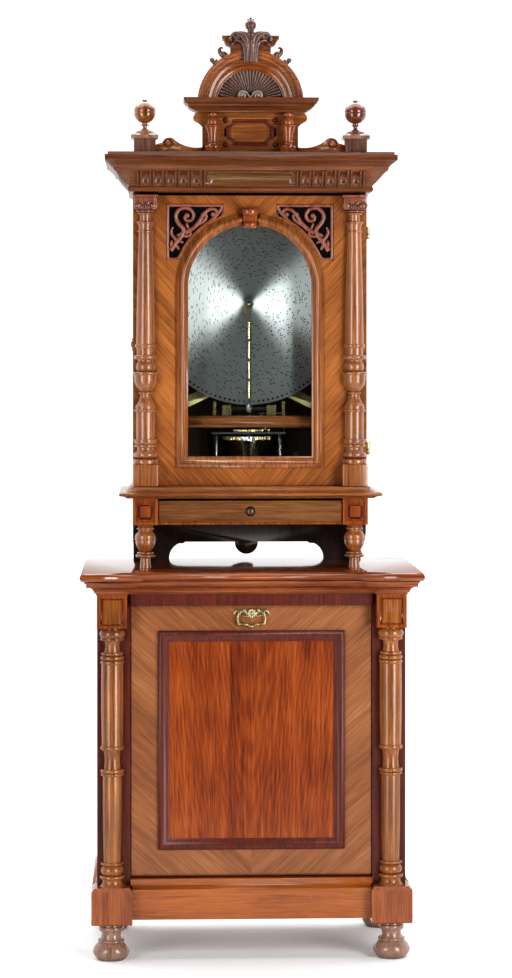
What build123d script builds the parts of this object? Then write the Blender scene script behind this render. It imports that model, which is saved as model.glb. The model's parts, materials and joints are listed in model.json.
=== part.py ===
"""Upright disc music box on its disc cabinet, in millimetres.

The box stands 2.27 m high in two cases. The lower one is the disc cabinet: a walnut carcase on bun
feet, with turned columns on its corners and a front flap that tilts out with the disc rack on it.
The upper one is the music box: a glazed door with columns hangs in front of the tune disc, the
comb work behind the disc and the spring motor under it, and a carved pediment stands on top.

+X is the viewer's right, +Y runs from the front to the back and +Z is up. The origin is on the
floor, in the middle of the whole box.
"""

from build123d import *
import math
import os

# ------------------------------------------------------------------ fits and clearances
RUNNING_FIT = 0.05
CLEARANCE = 0.3
DOOR_GAP = 1.5
SLIDE_GAP = 1.0

# ------------------------------------------------------------------ disc cabinet
CABINET_WIDTH = 742.0
CABINET_BACK_Y = 230.0
PANEL_THICKNESS = 18.0
BACK_THICKNESS = 10.0
TOP_OVERHANG = 40.0
TOP_DEPTH = 480.0
TOP_THICKNESS = 22.0
BREAK_FORWARD = 25.0
CORNER_WIDTH = 72.0
BUN_FOOT_HEIGHT = 88.0
BUN_FOOT_RADIUS = 44.0
PLINTH_HEIGHT = 88.0
PLINTH_LIFT = 9.0
PLINTH_PROJECTION = 13.0
SILL_HEIGHT = 16.0
FLAP_HEIGHT = 652.0
FLAP_THICKNESS = 22.0
FRIEZE_HEIGHT = 28.0
CABINET_CORNICE_HEIGHT = 33.0
STILE_WIDTH = 80.0
STILE_SETBACK = 12.0
FLAP_SETBACK = 5.0
CAPITAL_BLOCK_HEIGHT = 80.0
CABINET_COLUMN_RADIUS = 22.5
CABINET_COLUMN_AXIS_FORWARD = 8.0
FIELD_FRAME_WIDTH = 26.0
FIELD_FRAME_RISE = 10.0
FIELD_MARGIN_X = 65.0
FIELD_MARGIN_TOP = 60.0
FIELD_MARGIN_BOTTOM = 66.0
FIELD_PANEL_DEPTH = 6.0
FLAP_PIVOT_RADIUS = 4.0
FLAP_PIVOT_INSET = 9.0
RACK_INSIDE_WIDTH = 512.0
RACK_DEPTH = 190.0
RACK_HEIGHT = 430.0
RACK_LIFT = 12.0
RACK_BOARD = 12.0
RACK_DIVIDERS = 5
HANDLE_PLATE_WIDTH = 84.0
HANDLE_PLATE_HEIGHT = 26.0
HANDLE_DROP = 17.0
BAIL_RADIUS = 31.0
BAIL_WIRE_RADIUS = 2.2
BAIL_PIN_RADIUS = 1.5

# ------------------------------------------------------------------ music box case
CASE_WIDTH = 572.0
CASE_BACK_Y = 207.0
CASE_WALL = 16.0
CASE_HEIGHT = 717.0
DOOR_PLANE_Y = -57.0
DOOR_THICKNESS = 24.0
DOOR_HEIGHT = 709.5
COLUMN_BLOCK = 61.0
COLUMN_AXIS_FORWARD = 7.0
COLUMN_RADIUS = 22.0
COLUMN_PLINTH_HEIGHT = 53.0
CAPITAL_HEIGHT = 42.0
TURNED_FOOT_HEIGHT = 106.0
CORNER_BLOCK_HEIGHT = 65.0
BASE_MOULDING_HEIGHT = 27.0
BASE_MOULDING_PROJECTION = 33.0
DRAWER_HEIGHT = 52.0
DRAWER_BOX_HEIGHT = 40.0
DRAWER_DEPTH = 250.0
DRAWER_FRONT_THICKNESS = 16.0
DRAWER_WALL = 9.0
DRAWER_SETBACK = 6.0
HOUSING_FLOOR = 6.0
ESCUTCHEON_RADIUS = 12.0
CORNICE_HEIGHT = 94.0
CORNICE_PROJECTION = 67.0
FLUTES_PER_SIDE = 5
FLUTE_PITCH = 30.7
FLUTE_RADIUS = 14.0
NAMEPLATE_WIDTH = 216.0
NAMEPLATE_HEIGHT = 38.0
APRON_THICKNESS = 12.0
APRON_DEPTH = 61.0
WINDOW_HALF_WIDTH = 151.5
WINDOW_HEIGHT = 566.0
WINDOW_SILL_HEIGHT = 71.5
WINDOW_MOULDING_WIDTH = 28.0
GLASS_THICKNESS = 3.0
GLASS_REBATE = 9.0
GLASS_REBATE_DEPTH = 12.0
KEYSTONE_WIDTH = 40.0
SPANDREL_TOP_MARGIN = 20.0
SPANDREL_OUTER_X = 205.0
SPANDREL_INNER_X = 65.0
SPANDREL_HEIGHT = 138.0
SPANDREL_ARC_GAP = 8.0
SPANDREL_BORDER = 8.0
FRET_THICKNESS = 8.0
HINGE_PIN_RADIUS = 2.5
HINGE_KNUCKLE_RADIUS = 4.5
HINGE_KNUCKLE_LENGTH = 30.0
HINGE_LEAF_THICKNESS = 0.6
HINGE_LEAF_WIDTH = 14.0
HINGE_END_MARGIN = 90.0

# ------------------------------------------------------------------ pediment
FINIAL_X = 257.0
FINIAL_BLOCK = 53.0
FINIAL_CAP = 66.0
FINIAL_BLOCK_HEIGHT = 48.0
FINIAL_BALL_RADIUS = 27.0
PEDIMENT_BOARD_Y = -75.0
PEDIMENT_BOARD_THICKNESS = 18.0
PEDIMENT_HALF_WIDTH = 117.0
PEDIMENT_HEIGHT = 100.0
PEDIMENT_CORNICE_HEIGHT = 32.0
PEDIMENT_CORNICE_PROJECTION = 31.0
BALUSTER_X = 91.0
BALUSTER_BLOCK = 38.0
BALUSTER_BLOCK_HEIGHT = 12.0
ARCH_RADIUS = 129.0
ARCH_RING_WIDTH = 48.0
ARCH_DEPTH = 46.0
ARCH_CENTRE_DROP = 9.0
SHELL_RIBS = 15
CREST_HALF_WIDTH = 69.0
CREST_HEIGHT = 34.0
CREST_BALL_RADIUS = 14.5

# ------------------------------------------------------------------ tune disc and movement
DISC_RADIUS = 249.25
DISC_THICKNESS = 1.0
DISC_FRONT_Y = 20.0
DISC_BEARING_GAP = 0.75
RIM_HOLES = 126
RIM_HOLE_RADIUS = 3.3
RIM_MARGIN = 8.25
SPINDLE_RADIUS = 4.5
SPINDLE_REACH = 12.0
SPROCKET_TEETH = 14
SPROCKET_TOOTH_RADIUS = 2.1
SPROCKET_TOOTH_TIP = 1.2
SPROCKET_TOOTH_REACH = 1.6
SPROCKET_TOOTH_LENGTH = 5.0
SPROCKET_THICKNESS = 8.0
ARBOR_RADIUS = 4.0
FINE_ARBOR_RADIUS = 2.0
GEAR_BACKLASH = 0.6
GREAT_WHEEL_TEETH = 40
DRIVE_PINION_TEETH = 10
DRIVE_MODULE = 3.0
DRIVE_WHEEL_THICKNESS = 8.0
TRAIN_WHEEL_TEETH = 36
TRAIN_PINION_TEETH = 9
TRAIN_MODULE = 2.0
TRAIN_WHEEL_THICKNESS = 4.0
FAN_WHEEL_TEETH = 32
FAN_PINION_TEETH = 8
FAN_MODULE = 1.25
FAN_WHEEL_THICKNESS = 3.0
FAN_RADIUS = 15.0
FAN_HEIGHT = 16.0
TRAIN_ANGLE = 20.0
BARREL_RADIUS = 49.0
BARREL_HEIGHT = 78.0
MOTOR_HEIGHT = 125.0
MOTOR_LIFT = 6.0
MOTOR_PLATE_THICKNESS = 5.0
MOTOR_POST_X = 80.0
MOTOR_POST_SPACING = 56.0
MOTOR_POST_RADIUS = 5.0
BEDPLATE_GAP = 38.0
BEDPLATE_THICKNESS = 10.0
BEDPLATE_HALF_WIDTH = 66.0
BEDPLATE_HEIGHT = 250.0
BEDPLATE_ARM_WIDTH = 26.0
STAR_WHEELS = 18
STAR_WHEEL_PITCH = 10.0
STAR_WHEEL_RADIUS = 8.0
STAR_WHEEL_THICKNESS = 1.5
STAR_POINTS = 6
STAR_SHAFT_RADIUS = 1.5
COMB_REACH = 52.0
COMB_THICKNESS = 2.0
BAR_HALF_WIDTH = 7.0
BAR_THICKNESS = 9.0
ROLLERS = 4
ROLLER_RADIUS = 3.8
ROLLER_SPACE = 7.0
ROLLER_FOOT_HEIGHT = 26.0
ROLLER_HEAD_GAP = 37.0
ROLLER_AXLE_RADIUS = 1.2
BAR_SHAFT_RADIUS = 4.0
BAR_PIVOT_HEIGHT = 188.0
BAR_BEARING_X = 55.0
BAR_BEARING_WIDTH = 22.0
BAR_BEARING_CAP = 9.0
BAR_RING_RADIUS = 11.5
RAIL_TOP_HEIGHT = 171.5
RAIL_HEIGHT = 29.5
RAIL_DEPTH = 46.0
COIN_PLATE_HEIGHT = 347.0
COIN_CHUTE_Y = 110.0
COIN_CHUTE_DEPTH = 30.0
COIN_CHUTE_THICKNESS = 8.0
COIN_CHUTE_FOOT_X = 200.0
WINDING_HEIGHT = 62.0
WINDING_ARBOR_RADIUS = 6.0
WINDING_SQUARE = 9.0

# ------------------------------------------------------------------ levels and planes worked out from them
SIDES = (-1, 1)
Z_PLINTH = BUN_FOOT_HEIGHT
Z_SILL = Z_PLINTH + PLINTH_HEIGHT
Z_FLAP = Z_SILL + SILL_HEIGHT + DOOR_GAP
Z_FRIEZE = Z_FLAP + FLAP_HEIGHT + DOOR_GAP
Z_CABINET_CORNICE = Z_FRIEZE + FRIEZE_HEIGHT
Z_TOP = Z_CABINET_CORNICE + CABINET_CORNICE_HEIGHT
Z_CASE_FOOT = Z_TOP + TOP_THICKNESS
Z_CORNER_BLOCK = Z_CASE_FOOT + TURNED_FOOT_HEIGHT
Z_BASE_MOULDING = Z_CORNER_BLOCK + CORNER_BLOCK_HEIGHT
Z_CASE = Z_BASE_MOULDING + BASE_MOULDING_HEIGHT
Z_DOOR = Z_CASE + DOOR_GAP
Z_DOOR_TOP = Z_DOOR + DOOR_HEIGHT
Z_CORNICE = Z_CASE + CASE_HEIGHT
Z_PEDIMENT = Z_CORNICE + CORNICE_HEIGHT
Z_PEDIMENT_CORNICE = Z_PEDIMENT + PEDIMENT_HEIGHT
Z_ARCH_FOOT = Z_PEDIMENT_CORNICE + PEDIMENT_CORNICE_HEIGHT
Z_ARCH = Z_ARCH_FOOT - ARCH_CENTRE_DROP

CABINET_HALF = CABINET_WIDTH / 2
CORNER_FRONT_Y = -TOP_DEPTH / 2 + TOP_OVERHANG
FRIEZE_FRONT_Y = CORNER_FRONT_Y + BREAK_FORWARD
STILE_FRONT_Y = FRIEZE_FRONT_Y + STILE_SETBACK
STILE_BACK_Y = STILE_FRONT_Y + PANEL_THICKNESS
FLAP_FRONT_Y = STILE_FRONT_Y + FLAP_SETBACK
FLAP_BACK_Y = FLAP_FRONT_Y + FLAP_THICKNESS
FLAP_PIVOT_Y = FLAP_FRONT_Y + FLAP_PIVOT_INSET
Z_FLAP_PIVOT = Z_FLAP + FLAP_PIVOT_INSET
CORNER_INNER_X = CABINET_HALF - CORNER_WIDTH
CORNER_CENTRE_X = CABINET_HALF - CORNER_WIDTH / 2
CABINET_COLUMN_Y = STILE_FRONT_Y - CABINET_COLUMN_AXIS_FORWARD
FLAP_HALF = CABINET_HALF - STILE_WIDTH - DOOR_GAP
BAIL_Y = FLAP_FRONT_Y - 9.0
Z_BAIL = Z_FLAP + FLAP_HEIGHT - HANDLE_DROP

CASE_HALF = CASE_WIDTH / 2
CASE_INNER = CASE_HALF - CASE_WALL
DOOR_BACK_Y = DOOR_PLANE_Y + DOOR_THICKNESS
CASE_FRONT_Y = DOOR_BACK_Y + DOOR_GAP
HINGE_X = CASE_HALF + HINGE_KNUCKLE_RADIUS + CLEARANCE
HINGE_Y = (DOOR_BACK_Y + CASE_FRONT_Y) / 2
COLUMN_X = CASE_HALF - COLUMN_BLOCK / 2
COLUMN_Y = DOOR_PLANE_Y - COLUMN_AXIS_FORWARD
CASE_FACE_Y = COLUMN_Y - COLUMN_BLOCK / 2
DRAWER_HALF = COLUMN_X - COLUMN_BLOCK / 2
DRAWER_FRONT_Y = CASE_FACE_Y + DRAWER_SETBACK
Z_DRAWER = Z_CORNER_BLOCK + HOUSING_FLOOR + CLEARANCE
Z_WINDOW = Z_DOOR + WINDOW_SILL_HEIGHT
Z_SPRINGING = Z_WINDOW + WINDOW_HEIGHT - WINDOW_HALF_WIDTH
SPANDREL_ARC_RADIUS = WINDOW_HALF_WIDTH + WINDOW_MOULDING_WIDTH + SPANDREL_ARC_GAP
Z_SPANDREL_TOP = Z_DOOR_TOP - SPANDREL_TOP_MARGIN
Z_SPANDREL = Z_SPANDREL_TOP - SPANDREL_HEIGHT
BALUSTER_Y = PEDIMENT_BOARD_Y - BALUSTER_BLOCK / 2 - 1.0
ARCH_FRONT_Y = PEDIMENT_BOARD_Y - ARCH_DEPTH + PEDIMENT_BOARD_THICKNESS

DISC_BACK_Y = DISC_FRONT_Y + DISC_THICKNESS
RIM_HOLE_CIRCLE = DISC_RADIUS - RIM_MARGIN
Z_BAR_PIVOT = Z_CASE + BAR_PIVOT_HEIGHT
Z_DISC = Z_BAR_PIVOT + BAR_BEARING_CAP + DISC_BEARING_GAP + DISC_RADIUS
SPROCKET_RADIUS = RIM_HOLE_CIRCLE * SPROCKET_TEETH / RIM_HOLES
SPROCKET_Y = DISC_FRONT_Y + DISC_THICKNESS / 2 + SPROCKET_RADIUS
Z_SPROCKET = Z_DISC - RIM_HOLE_CIRCLE
DRIVE_CENTRES = (GREAT_WHEEL_TEETH + DRIVE_PINION_TEETH) * DRIVE_MODULE / 2 + GEAR_BACKLASH
TRAIN_CENTRES = (TRAIN_WHEEL_TEETH + TRAIN_PINION_TEETH) * TRAIN_MODULE / 2 + GEAR_BACKLASH
FAN_CENTRES = (FAN_WHEEL_TEETH + FAN_PINION_TEETH) * FAN_MODULE / 2 + GEAR_BACKLASH
BARREL_Y = SPROCKET_Y + DRIVE_CENTRES
TRAIN_X = TRAIN_CENTRES * math.cos(math.radians(TRAIN_ANGLE))
TRAIN_Y = SPROCKET_Y + TRAIN_CENTRES * math.sin(math.radians(TRAIN_ANGLE))
FAN_X = TRAIN_X + FAN_CENTRES * math.cos(math.radians(TRAIN_ANGLE))
FAN_Y = TRAIN_Y + FAN_CENTRES * math.sin(math.radians(TRAIN_ANGLE))
Z_MOTOR = Z_CASE + MOTOR_LIFT
Z_MOTOR_TOP = Z_CASE + MOTOR_HEIGHT
Z_GREAT_WHEEL = Z_MOTOR_TOP - 16.0
Z_BARREL = Z_GREAT_WHEEL - BARREL_HEIGHT
Z_TRAIN_WHEEL = Z_MOTOR_TOP + MOTOR_PLATE_THICKNESS + 2.0
Z_FAN_WHEEL = Z_TRAIN_WHEEL + 14.0
Z_FAN = Z_FAN_WHEEL + 8.0
Z_COCK = Z_FAN + FAN_HEIGHT + 5.0
Z_RAIL_TOP = Z_CASE + RAIL_TOP_HEIGHT
RAIL_FRONT_Y = DISC_FRONT_Y - RAIL_DEPTH + 8.0
BEDPLATE_Y = DISC_BACK_Y + BEDPLATE_GAP
STAR_Y = DISC_BACK_Y + STAR_WHEEL_RADIUS + CLEARANCE
Z_STARS = Z_DISC - 40.0 - (STAR_WHEELS - 1) * STAR_WHEEL_PITCH
BAR_Y = DISC_FRONT_Y - CLEARANCE - ROLLER_RADIUS
BAR_FRONT_Y = BAR_Y - BAR_THICKNESS + 2.6
Z_ROLLERS = Z_BAR_PIVOT + ROLLER_FOOT_HEIGHT
ROLLER_PITCH = (Z_DISC - ROLLER_HEAD_GAP - Z_ROLLERS) / ROLLERS
ROLLER_LENGTH = ROLLER_PITCH - ROLLER_SPACE
Z_COIN_PLATE = Z_CASE + COIN_PLATE_HEIGHT
Z_WINDING = Z_CASE + WINDING_HEIGHT


# ------------------------------------------------------------------ building helpers
def block(x0, x1, y0, y1, z0, z1):
    """A rectangular block between two corners."""
    return Pos((x0 + x1) / 2, (y0 + y1) / 2, (z0 + z1) / 2) * Box(x1 - x0, y1 - y0, z1 - z0)


def rod(radius, x, y, z0, z1):
    """An upright round bar."""
    return Pos(x, y, (z0 + z1) / 2) * Cylinder(radius, z1 - z0)


def rod_y(radius, x, z, y0, y1):
    """A round bar that runs from front to back."""
    return Pos(x, (y0 + y1) / 2, z) * Rot(90, 0, 0) * Cylinder(radius, y1 - y0)


def rod_x(radius, y, z, x0, x1):
    """A round bar that runs from left to right."""
    return Pos((x0 + x1) / 2, y, z) * Rot(0, 90, 0) * Cylinder(radius, x1 - x0)


def outline(points):
    """A closed face from points. A point marked "arc" is the middle of the arc between its neighbours."""
    edges = []
    start = None
    middle = None
    for point in list(points) + [points[0]]:
        if len(point) == 3:
            middle = point[:2]
            continue
        if start is not None:
            edges.append(ThreePointArc(start, middle, point) if middle else Line(start, point))
            middle = None
        start = point
    return make_face(edges)


def prism_x(points, x0, x1):
    """A (y, z) outline extruded from x0 to x1."""
    return extrude(Plane.YZ.offset(x0) * outline(points), x1 - x0)


def prism_y(points, y0, y1):
    """An (x, z) outline extruded from y0 back to y1."""
    return extrude(Plane.XZ.offset(-y0) * outline(points), -(y1 - y0))


def prism_z(points, z0, z1):
    """An (x, y) outline extruded from z0 up to z1."""
    return extrude(Plane.XY.offset(z0) * outline(points), z1 - z0)


def turned(steps, x, y, z):
    """A turned post stood on z. Each step of its side is a rise and the radius that it ends at."""
    points = [(0.0, 0.0)]
    level = 0.0
    for rise, radius in steps:
        level += rise
        points.append((radius, level))
    points.append((0.0, level))
    return Pos(x, y, z) * revolve(Plane.XZ * make_face(Polyline(*points, close=True)), Axis.Z)


def fitted(steps, total, stretched):
    """The steps of a turned post, with the ones at the stretched places drawn out to the total height."""
    spare = (total - sum(rise for rise, radius in steps)) / len(stretched)
    return [(rise + spare, radius) if k in stretched else (rise, radius) for k, (rise, radius) in enumerate(steps)]


def moulding(profile, half_width, front_y, back_y, z, inner_x=None):
    """A moulding that runs along the front and both sides, mitred at its corners.

    The profile is (projection, height) points from the bottom up. With inner_x it covers only the
    right-hand stretch between inner_x and half_width, and returns round both ends of it.
    """
    top = profile[-1][1]
    front = [(front_y - p[0], z + p[1], *p[2:]) for p in profile]
    reach = half_width + profile[-1][0] + 500
    along = prism_x(front + [(back_y, z + top), (back_y, z)], -reach, reach)
    left_x = -half_width if inner_x is None else inner_x
    right = [(half_width + p[0], z + p[1], *p[2:]) for p in profile]
    left = [(left_x - p[0], z + p[1], *p[2:]) for p in reversed(profile)]
    return along & prism_y(right + left, front_y - 500, back_y)


def breaking_moulding(profile, back_y, z):
    """A cabinet moulding that breaks forward over both corners."""
    whole = moulding(profile, CABINET_HALF, FRIEZE_FRONT_Y, back_y, z)
    corner = moulding(profile, CABINET_HALF, CORNER_FRONT_Y, back_y, z, CORNER_INNER_X)
    return whole + corner + mirror(corner, about=Plane.YZ)


def frame_of(section, half_x, y, z0, z1):
    """A rectangular frame from an (inward, forward) section, mitred at its corners."""
    width = max(u for u, v in section)
    rise = max(v for u, v in section)
    upright = prism_z([(half_x - u, y - v) for u, v in section], z0, z1)
    low = prism_x([(y - v, z0 + u) for u, v in section], -half_x, half_x)
    high = prism_x([(y - v, z1 - u) for u, v in section], -half_x, half_x)
    side_cut = [(half_x, z0), (half_x, z1), (half_x - width, z1 - width), (half_x - width, z0 + width)]
    low_cut = [(-half_x, z0), (half_x, z0), (half_x - width, z0 + width), (width - half_x, z0 + width)]
    high_cut = [(-half_x, z1), (half_x, z1), (half_x - width, z1 - width), (width - half_x, z1 - width)]
    right = upright & prism_y(side_cut, y - rise, y)
    low = low & prism_y(low_cut, y - rise, y)
    high = high & prism_y(high_cut, y - rise, y)
    return right + mirror(right, about=Plane.YZ) + low + high


def mirrored(shape):
    """A shape and its mirror image across the middle plane."""
    return [shape, mirror(shape, about=Plane.YZ)]


def save(name, *items):
    """Writes one sub-part; its solids stay separate."""
    flat = []
    for item in items:
        flat += item if isinstance(item, list) else [item]
    solids = [solid for item in flat for solid in item.solids()]
    shape = solids[0] if len(solids) == 1 else Compound(children=solids)
    export_step(shape, os.path.join("parts", name + ".step"))


def gear(teeth, module, phase, thickness):
    """A spur gear on the origin, lying on z = 0, with a tooth at the phase angle in degrees."""
    root = teeth * module / 2 - 1.05 * module
    tip = teeth * module / 2 + 0.75 * module
    step = 2 * math.pi / teeth
    points = []
    for k in range(teeth):
        middle = math.radians(phase) + k * step
        for radius, share in ((root, -0.26), (tip, -0.1), (tip, 0.1), (root, 0.26)):
            angle = middle + share * step
            points.append((radius * math.cos(angle), radius * math.sin(angle)))
    return extrude(make_face(Polyline(*points, close=True)), thickness)


# ------------------------------------------------------------------ disc cabinet
def cabinet_carcase():
    """Sides, back, floor and the pads that the rear feet are screwed to."""
    inner = CABINET_HALF - PANEL_THICKNESS
    side = block(inner, CABINET_HALF, STILE_BACK_Y, CABINET_BACK_Y, Z_PLINTH, Z_CABINET_CORNICE)
    back = block(-inner, inner, CABINET_BACK_Y - BACK_THICKNESS, CABINET_BACK_Y, Z_SILL, Z_CABINET_CORNICE)
    floor = block(-inner, inner, STILE_BACK_Y, CABINET_BACK_Y, Z_SILL - PANEL_THICKNESS, Z_SILL)
    pad = block(inner - 70, inner, CABINET_BACK_Y - 85, CABINET_BACK_Y, Z_PLINTH, Z_SILL - PANEL_THICKNESS)
    save("cabinet_carcase", mirrored(side), back, floor, mirrored(pad))


def cabinet_top():
    """The top slab, which breaks forward over the columns, and the cornice under it."""
    reach = TOP_OVERHANG
    nose = [(reach - 12, 0), (reach - 3, 3), (reach, 9), (reach - 1.5, 16, "arc"), (reach - 6, TOP_THICKNESS)]
    save("cabinet_top", breaking_moulding(nose, TOP_DEPTH / 2, Z_TOP))

    height = CABINET_CORNICE_HEIGHT
    under = [(2, 0), (2, 5), (6, 5), (10, 14, "arc"), (19, 20), (25, 20), (25, 27), (30, height)]
    cornice = breaking_moulding(under, CABINET_BACK_Y, Z_CABINET_CORNICE)
    hollow = CABINET_HALF - PANEL_THICKNESS
    cornice = cornice - block(-hollow, hollow, STILE_BACK_Y, CABINET_BACK_Y - BACK_THICKNESS,
                              Z_CABINET_CORNICE, Z_TOP)
    save("cabinet_cornice", cornice)


def cabinet_front():
    """The fixed frame round the flap: frieze rail, stiles, plinth and the blocks on the corners."""
    rail_half = CABINET_HALF - STILE_WIDTH
    rail = block(-rail_half, rail_half, FRIEZE_FRONT_Y, STILE_BACK_Y, Z_FRIEZE, Z_CABINET_CORNICE)
    stile = block(rail_half, CABINET_HALF, STILE_FRONT_Y, STILE_BACK_Y, Z_SILL, Z_CABINET_CORNICE)
    socket = rod_x(FLAP_PIVOT_RADIUS + RUNNING_FIT, FLAP_PIVOT_Y, Z_FLAP_PIVOT, rail_half - 1, rail_half + 12)
    save("cabinet_face_frame", rail, mirrored(stile - socket))

    rise = PLINTH_HEIGHT - PLINTH_LIFT
    board = [(0, 0), (PLINTH_PROJECTION, 0), (PLINTH_PROJECTION, rise - 7), (PLINTH_PROJECTION - 6, rise)]
    plinth = moulding(board, CABINET_HALF, FRIEZE_FRONT_Y, CABINET_BACK_Y, Z_PLINTH + PLINTH_LIFT)
    sill = block(-rail_half, rail_half, FRIEZE_FRONT_Y, STILE_BACK_Y, Z_SILL, Z_SILL + SILL_HEIGHT)
    hollow = block(-CABINET_HALF, CABINET_HALF, STILE_BACK_Y, CABINET_BACK_Y, Z_PLINTH, Z_SILL)
    corner_inner = CORNER_INNER_X - PLINTH_PROJECTION
    corner_outer = CABINET_HALF + PLINTH_PROJECTION
    corner_back = CORNER_FRONT_Y + corner_outer - corner_inner - PLINTH_PROJECTION
    corner_space = block(corner_inner, corner_outer + 1, CORNER_FRONT_Y - TOP_DEPTH, corner_back, 0, Z_SILL)
    plinth = (plinth + sill) - hollow - corner_space - mirror(corner_space, about=Plane.YZ)
    save("cabinet_plinth", plinth)

    corner = block(corner_inner, corner_outer, CORNER_FRONT_Y - PLINTH_PROJECTION, corner_back, Z_PLINTH, Z_SILL)
    corner = chamfer(corner.edges().group_by(Axis.Z)[-1], 8.0)
    corner = chamfer(corner.edges().group_by(Axis.Z)[0], 3.0)
    corner = corner - block(0, CABINET_HALF, STILE_BACK_Y, CABINET_BACK_Y, Z_PLINTH, Z_SILL)

    z0 = Z_CABINET_CORNICE - CAPITAL_BLOCK_HEIGHT
    capital = block(CORNER_INNER_X, CABINET_HALF, CORNER_FRONT_Y, STILE_FRONT_Y, z0, Z_CABINET_CORNICE)
    margin = 8.0
    sunk = 5.0
    border = 10.0
    low, high = z0 + margin, Z_CABINET_CORNICE - margin
    pocket = block(CORNER_INNER_X + margin, CABINET_HALF - margin, CORNER_FRONT_Y, CORNER_FRONT_Y + sunk, low, high)
    slope = [(CORNER_INNER_X + border + 2, low + 2), (CABINET_HALF - border - 2, low + 2),
             (CORNER_CENTRE_X + 13, high - 4), (CORNER_CENTRE_X - 13, high - 4)]
    raised = prism_y(slope, CORNER_FRONT_Y + 1, CORNER_FRONT_Y + sunk)
    save("cabinet_corner_blocks", mirrored(corner), mirrored(capital - pocket + raised))


def cabinet_columns():
    """Turned columns on the corner blocks, cut flat where they meet the stiles."""
    r = CABINET_COLUMN_RADIUS
    base = [(0, r + 7.5), (9, r + 7.5), (20, r), (3, r + 3.5), (10, r + 3.5), (14, r - 3.5), (9, r + 1.5), (7, r - 5)]
    knop = [(0, r - 4), (6, r + 2.5), (9, r + 2.5), (7, r - 5), (26, r - 5), (6, r + 2.5), (7, r + 1)]
    neck = [(0, r), (6, r + 2.5), (8, r - 2), (8, r + 2.5), (5, r - 5), (20, r - 5), (5, r + 1.5), (10, r), (12, r + 5)]
    shafts = [len(base), len(base) + len(knop)]
    total = Z_CABINET_CORNICE - CAPITAL_BLOCK_HEIGHT - Z_SILL
    column = turned(fitted(base + knop + neck, total, shafts), CORNER_CENTRE_X, CABINET_COLUMN_Y, Z_SILL)
    behind = block(0, CABINET_WIDTH, STILE_FRONT_Y, CABINET_BACK_Y, Z_SILL - 1, Z_CABINET_CORNICE)
    save("cabinet_columns", mirrored(column - behind))


def cabinet_feet():
    """Four turned bun feet."""
    r = BUN_FOOT_RADIUS
    steps = [(0, r - 13), (12, r - 4), (14, r), (20, r - 8), (12, r - 22), (22, r - 17)]
    foot_x = CORNER_CENTRE_X + 2
    front_y = CORNER_FRONT_Y + 34
    rear_y = CABINET_BACK_Y - 45
    steps = fitted(steps, BUN_FOOT_HEIGHT, [5])
    save("cabinet_feet", [turned(steps, s * foot_x, y, 0) for s in SIDES for y in (front_y, rear_y)])


def flap():
    """The tilting front with its frame and centre panel, and the rack that rides on its back."""
    z1 = Z_FLAP + FLAP_HEIGHT
    round_edge = 8.0
    bulge = round_edge * (1 - math.sqrt(0.5))
    board = prism_x([(FLAP_FRONT_Y, Z_FLAP + round_edge), (FLAP_FRONT_Y + bulge, Z_FLAP + bulge, "arc"),
                     (FLAP_FRONT_Y + round_edge, Z_FLAP), (FLAP_BACK_Y, Z_FLAP), (FLAP_BACK_Y, z1),
                     (FLAP_FRONT_Y, z1)], -FLAP_HALF, FLAP_HALF)
    half = FLAP_HALF - FIELD_MARGIN_X
    z_low, z_high = Z_FLAP + FIELD_MARGIN_BOTTOM, z1 - FIELD_MARGIN_TOP
    w = FIELD_FRAME_WIDTH
    field = block(w - half, half - w, FLAP_FRONT_Y, FLAP_FRONT_Y + FIELD_PANEL_DEPTH, z_low + w, z_high - w)
    pin = rod_x(FLAP_PIVOT_RADIUS, FLAP_PIVOT_Y, Z_FLAP_PIVOT, FLAP_HALF, FLAP_HALF + DOOR_GAP + 11)
    save("flap", (board - field) + pin + mirror(pin, about=Plane.YZ))
    save("flap_panel", field)

    h = FIELD_FRAME_RISE
    section = [(0, 0), (0, h * 0.5), (w * 0.15, h), (w * 0.42, h), (w * 0.58, h * 0.5), (w * 0.85, h * 0.4),
               (w, h * 0.15), (w, 0)]
    save("flap_moulding", frame_of(section, half, FLAP_FRONT_Y, z_low, z_high))


def rack():
    """The bin for spare discs on the back of the flap: two cheeks, a floor, a rear rail and divider slats."""
    inside = RACK_INSIDE_WIDTH / 2
    outer = inside + RACK_BOARD
    z0 = Z_FLAP + RACK_LIFT
    back_y = FLAP_BACK_Y + RACK_DEPTH
    cheek = prism_x([(FLAP_BACK_Y, z0), (back_y, z0), (back_y, z0 + RACK_HEIGHT * 0.7),
                     (FLAP_BACK_Y + RACK_DEPTH * 0.7, z0 + RACK_HEIGHT * 0.92, "arc"),
                     (FLAP_BACK_Y, z0 + RACK_HEIGHT)], inside, outer)
    bin_body = block(-outer, outer, FLAP_BACK_Y, back_y, z0, z0 + RACK_BOARD) + cheek
    bin_body = bin_body + mirror(cheek, about=Plane.YZ)
    bin_body = bin_body + block(-outer, outer, back_y - RACK_BOARD, back_y, z0, z0 + 130)
    pitch = (RACK_DEPTH - RACK_BOARD) / (RACK_DIVIDERS + 1)
    for k in range(1, RACK_DIVIDERS + 1):
        y = FLAP_BACK_Y + k * pitch
        bin_body = bin_body + block(-inside, inside, y - 2, y + 2, z0 + RACK_BOARD, z0 + RACK_BOARD + 48)
    save("disc_rack", bin_body)


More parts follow.
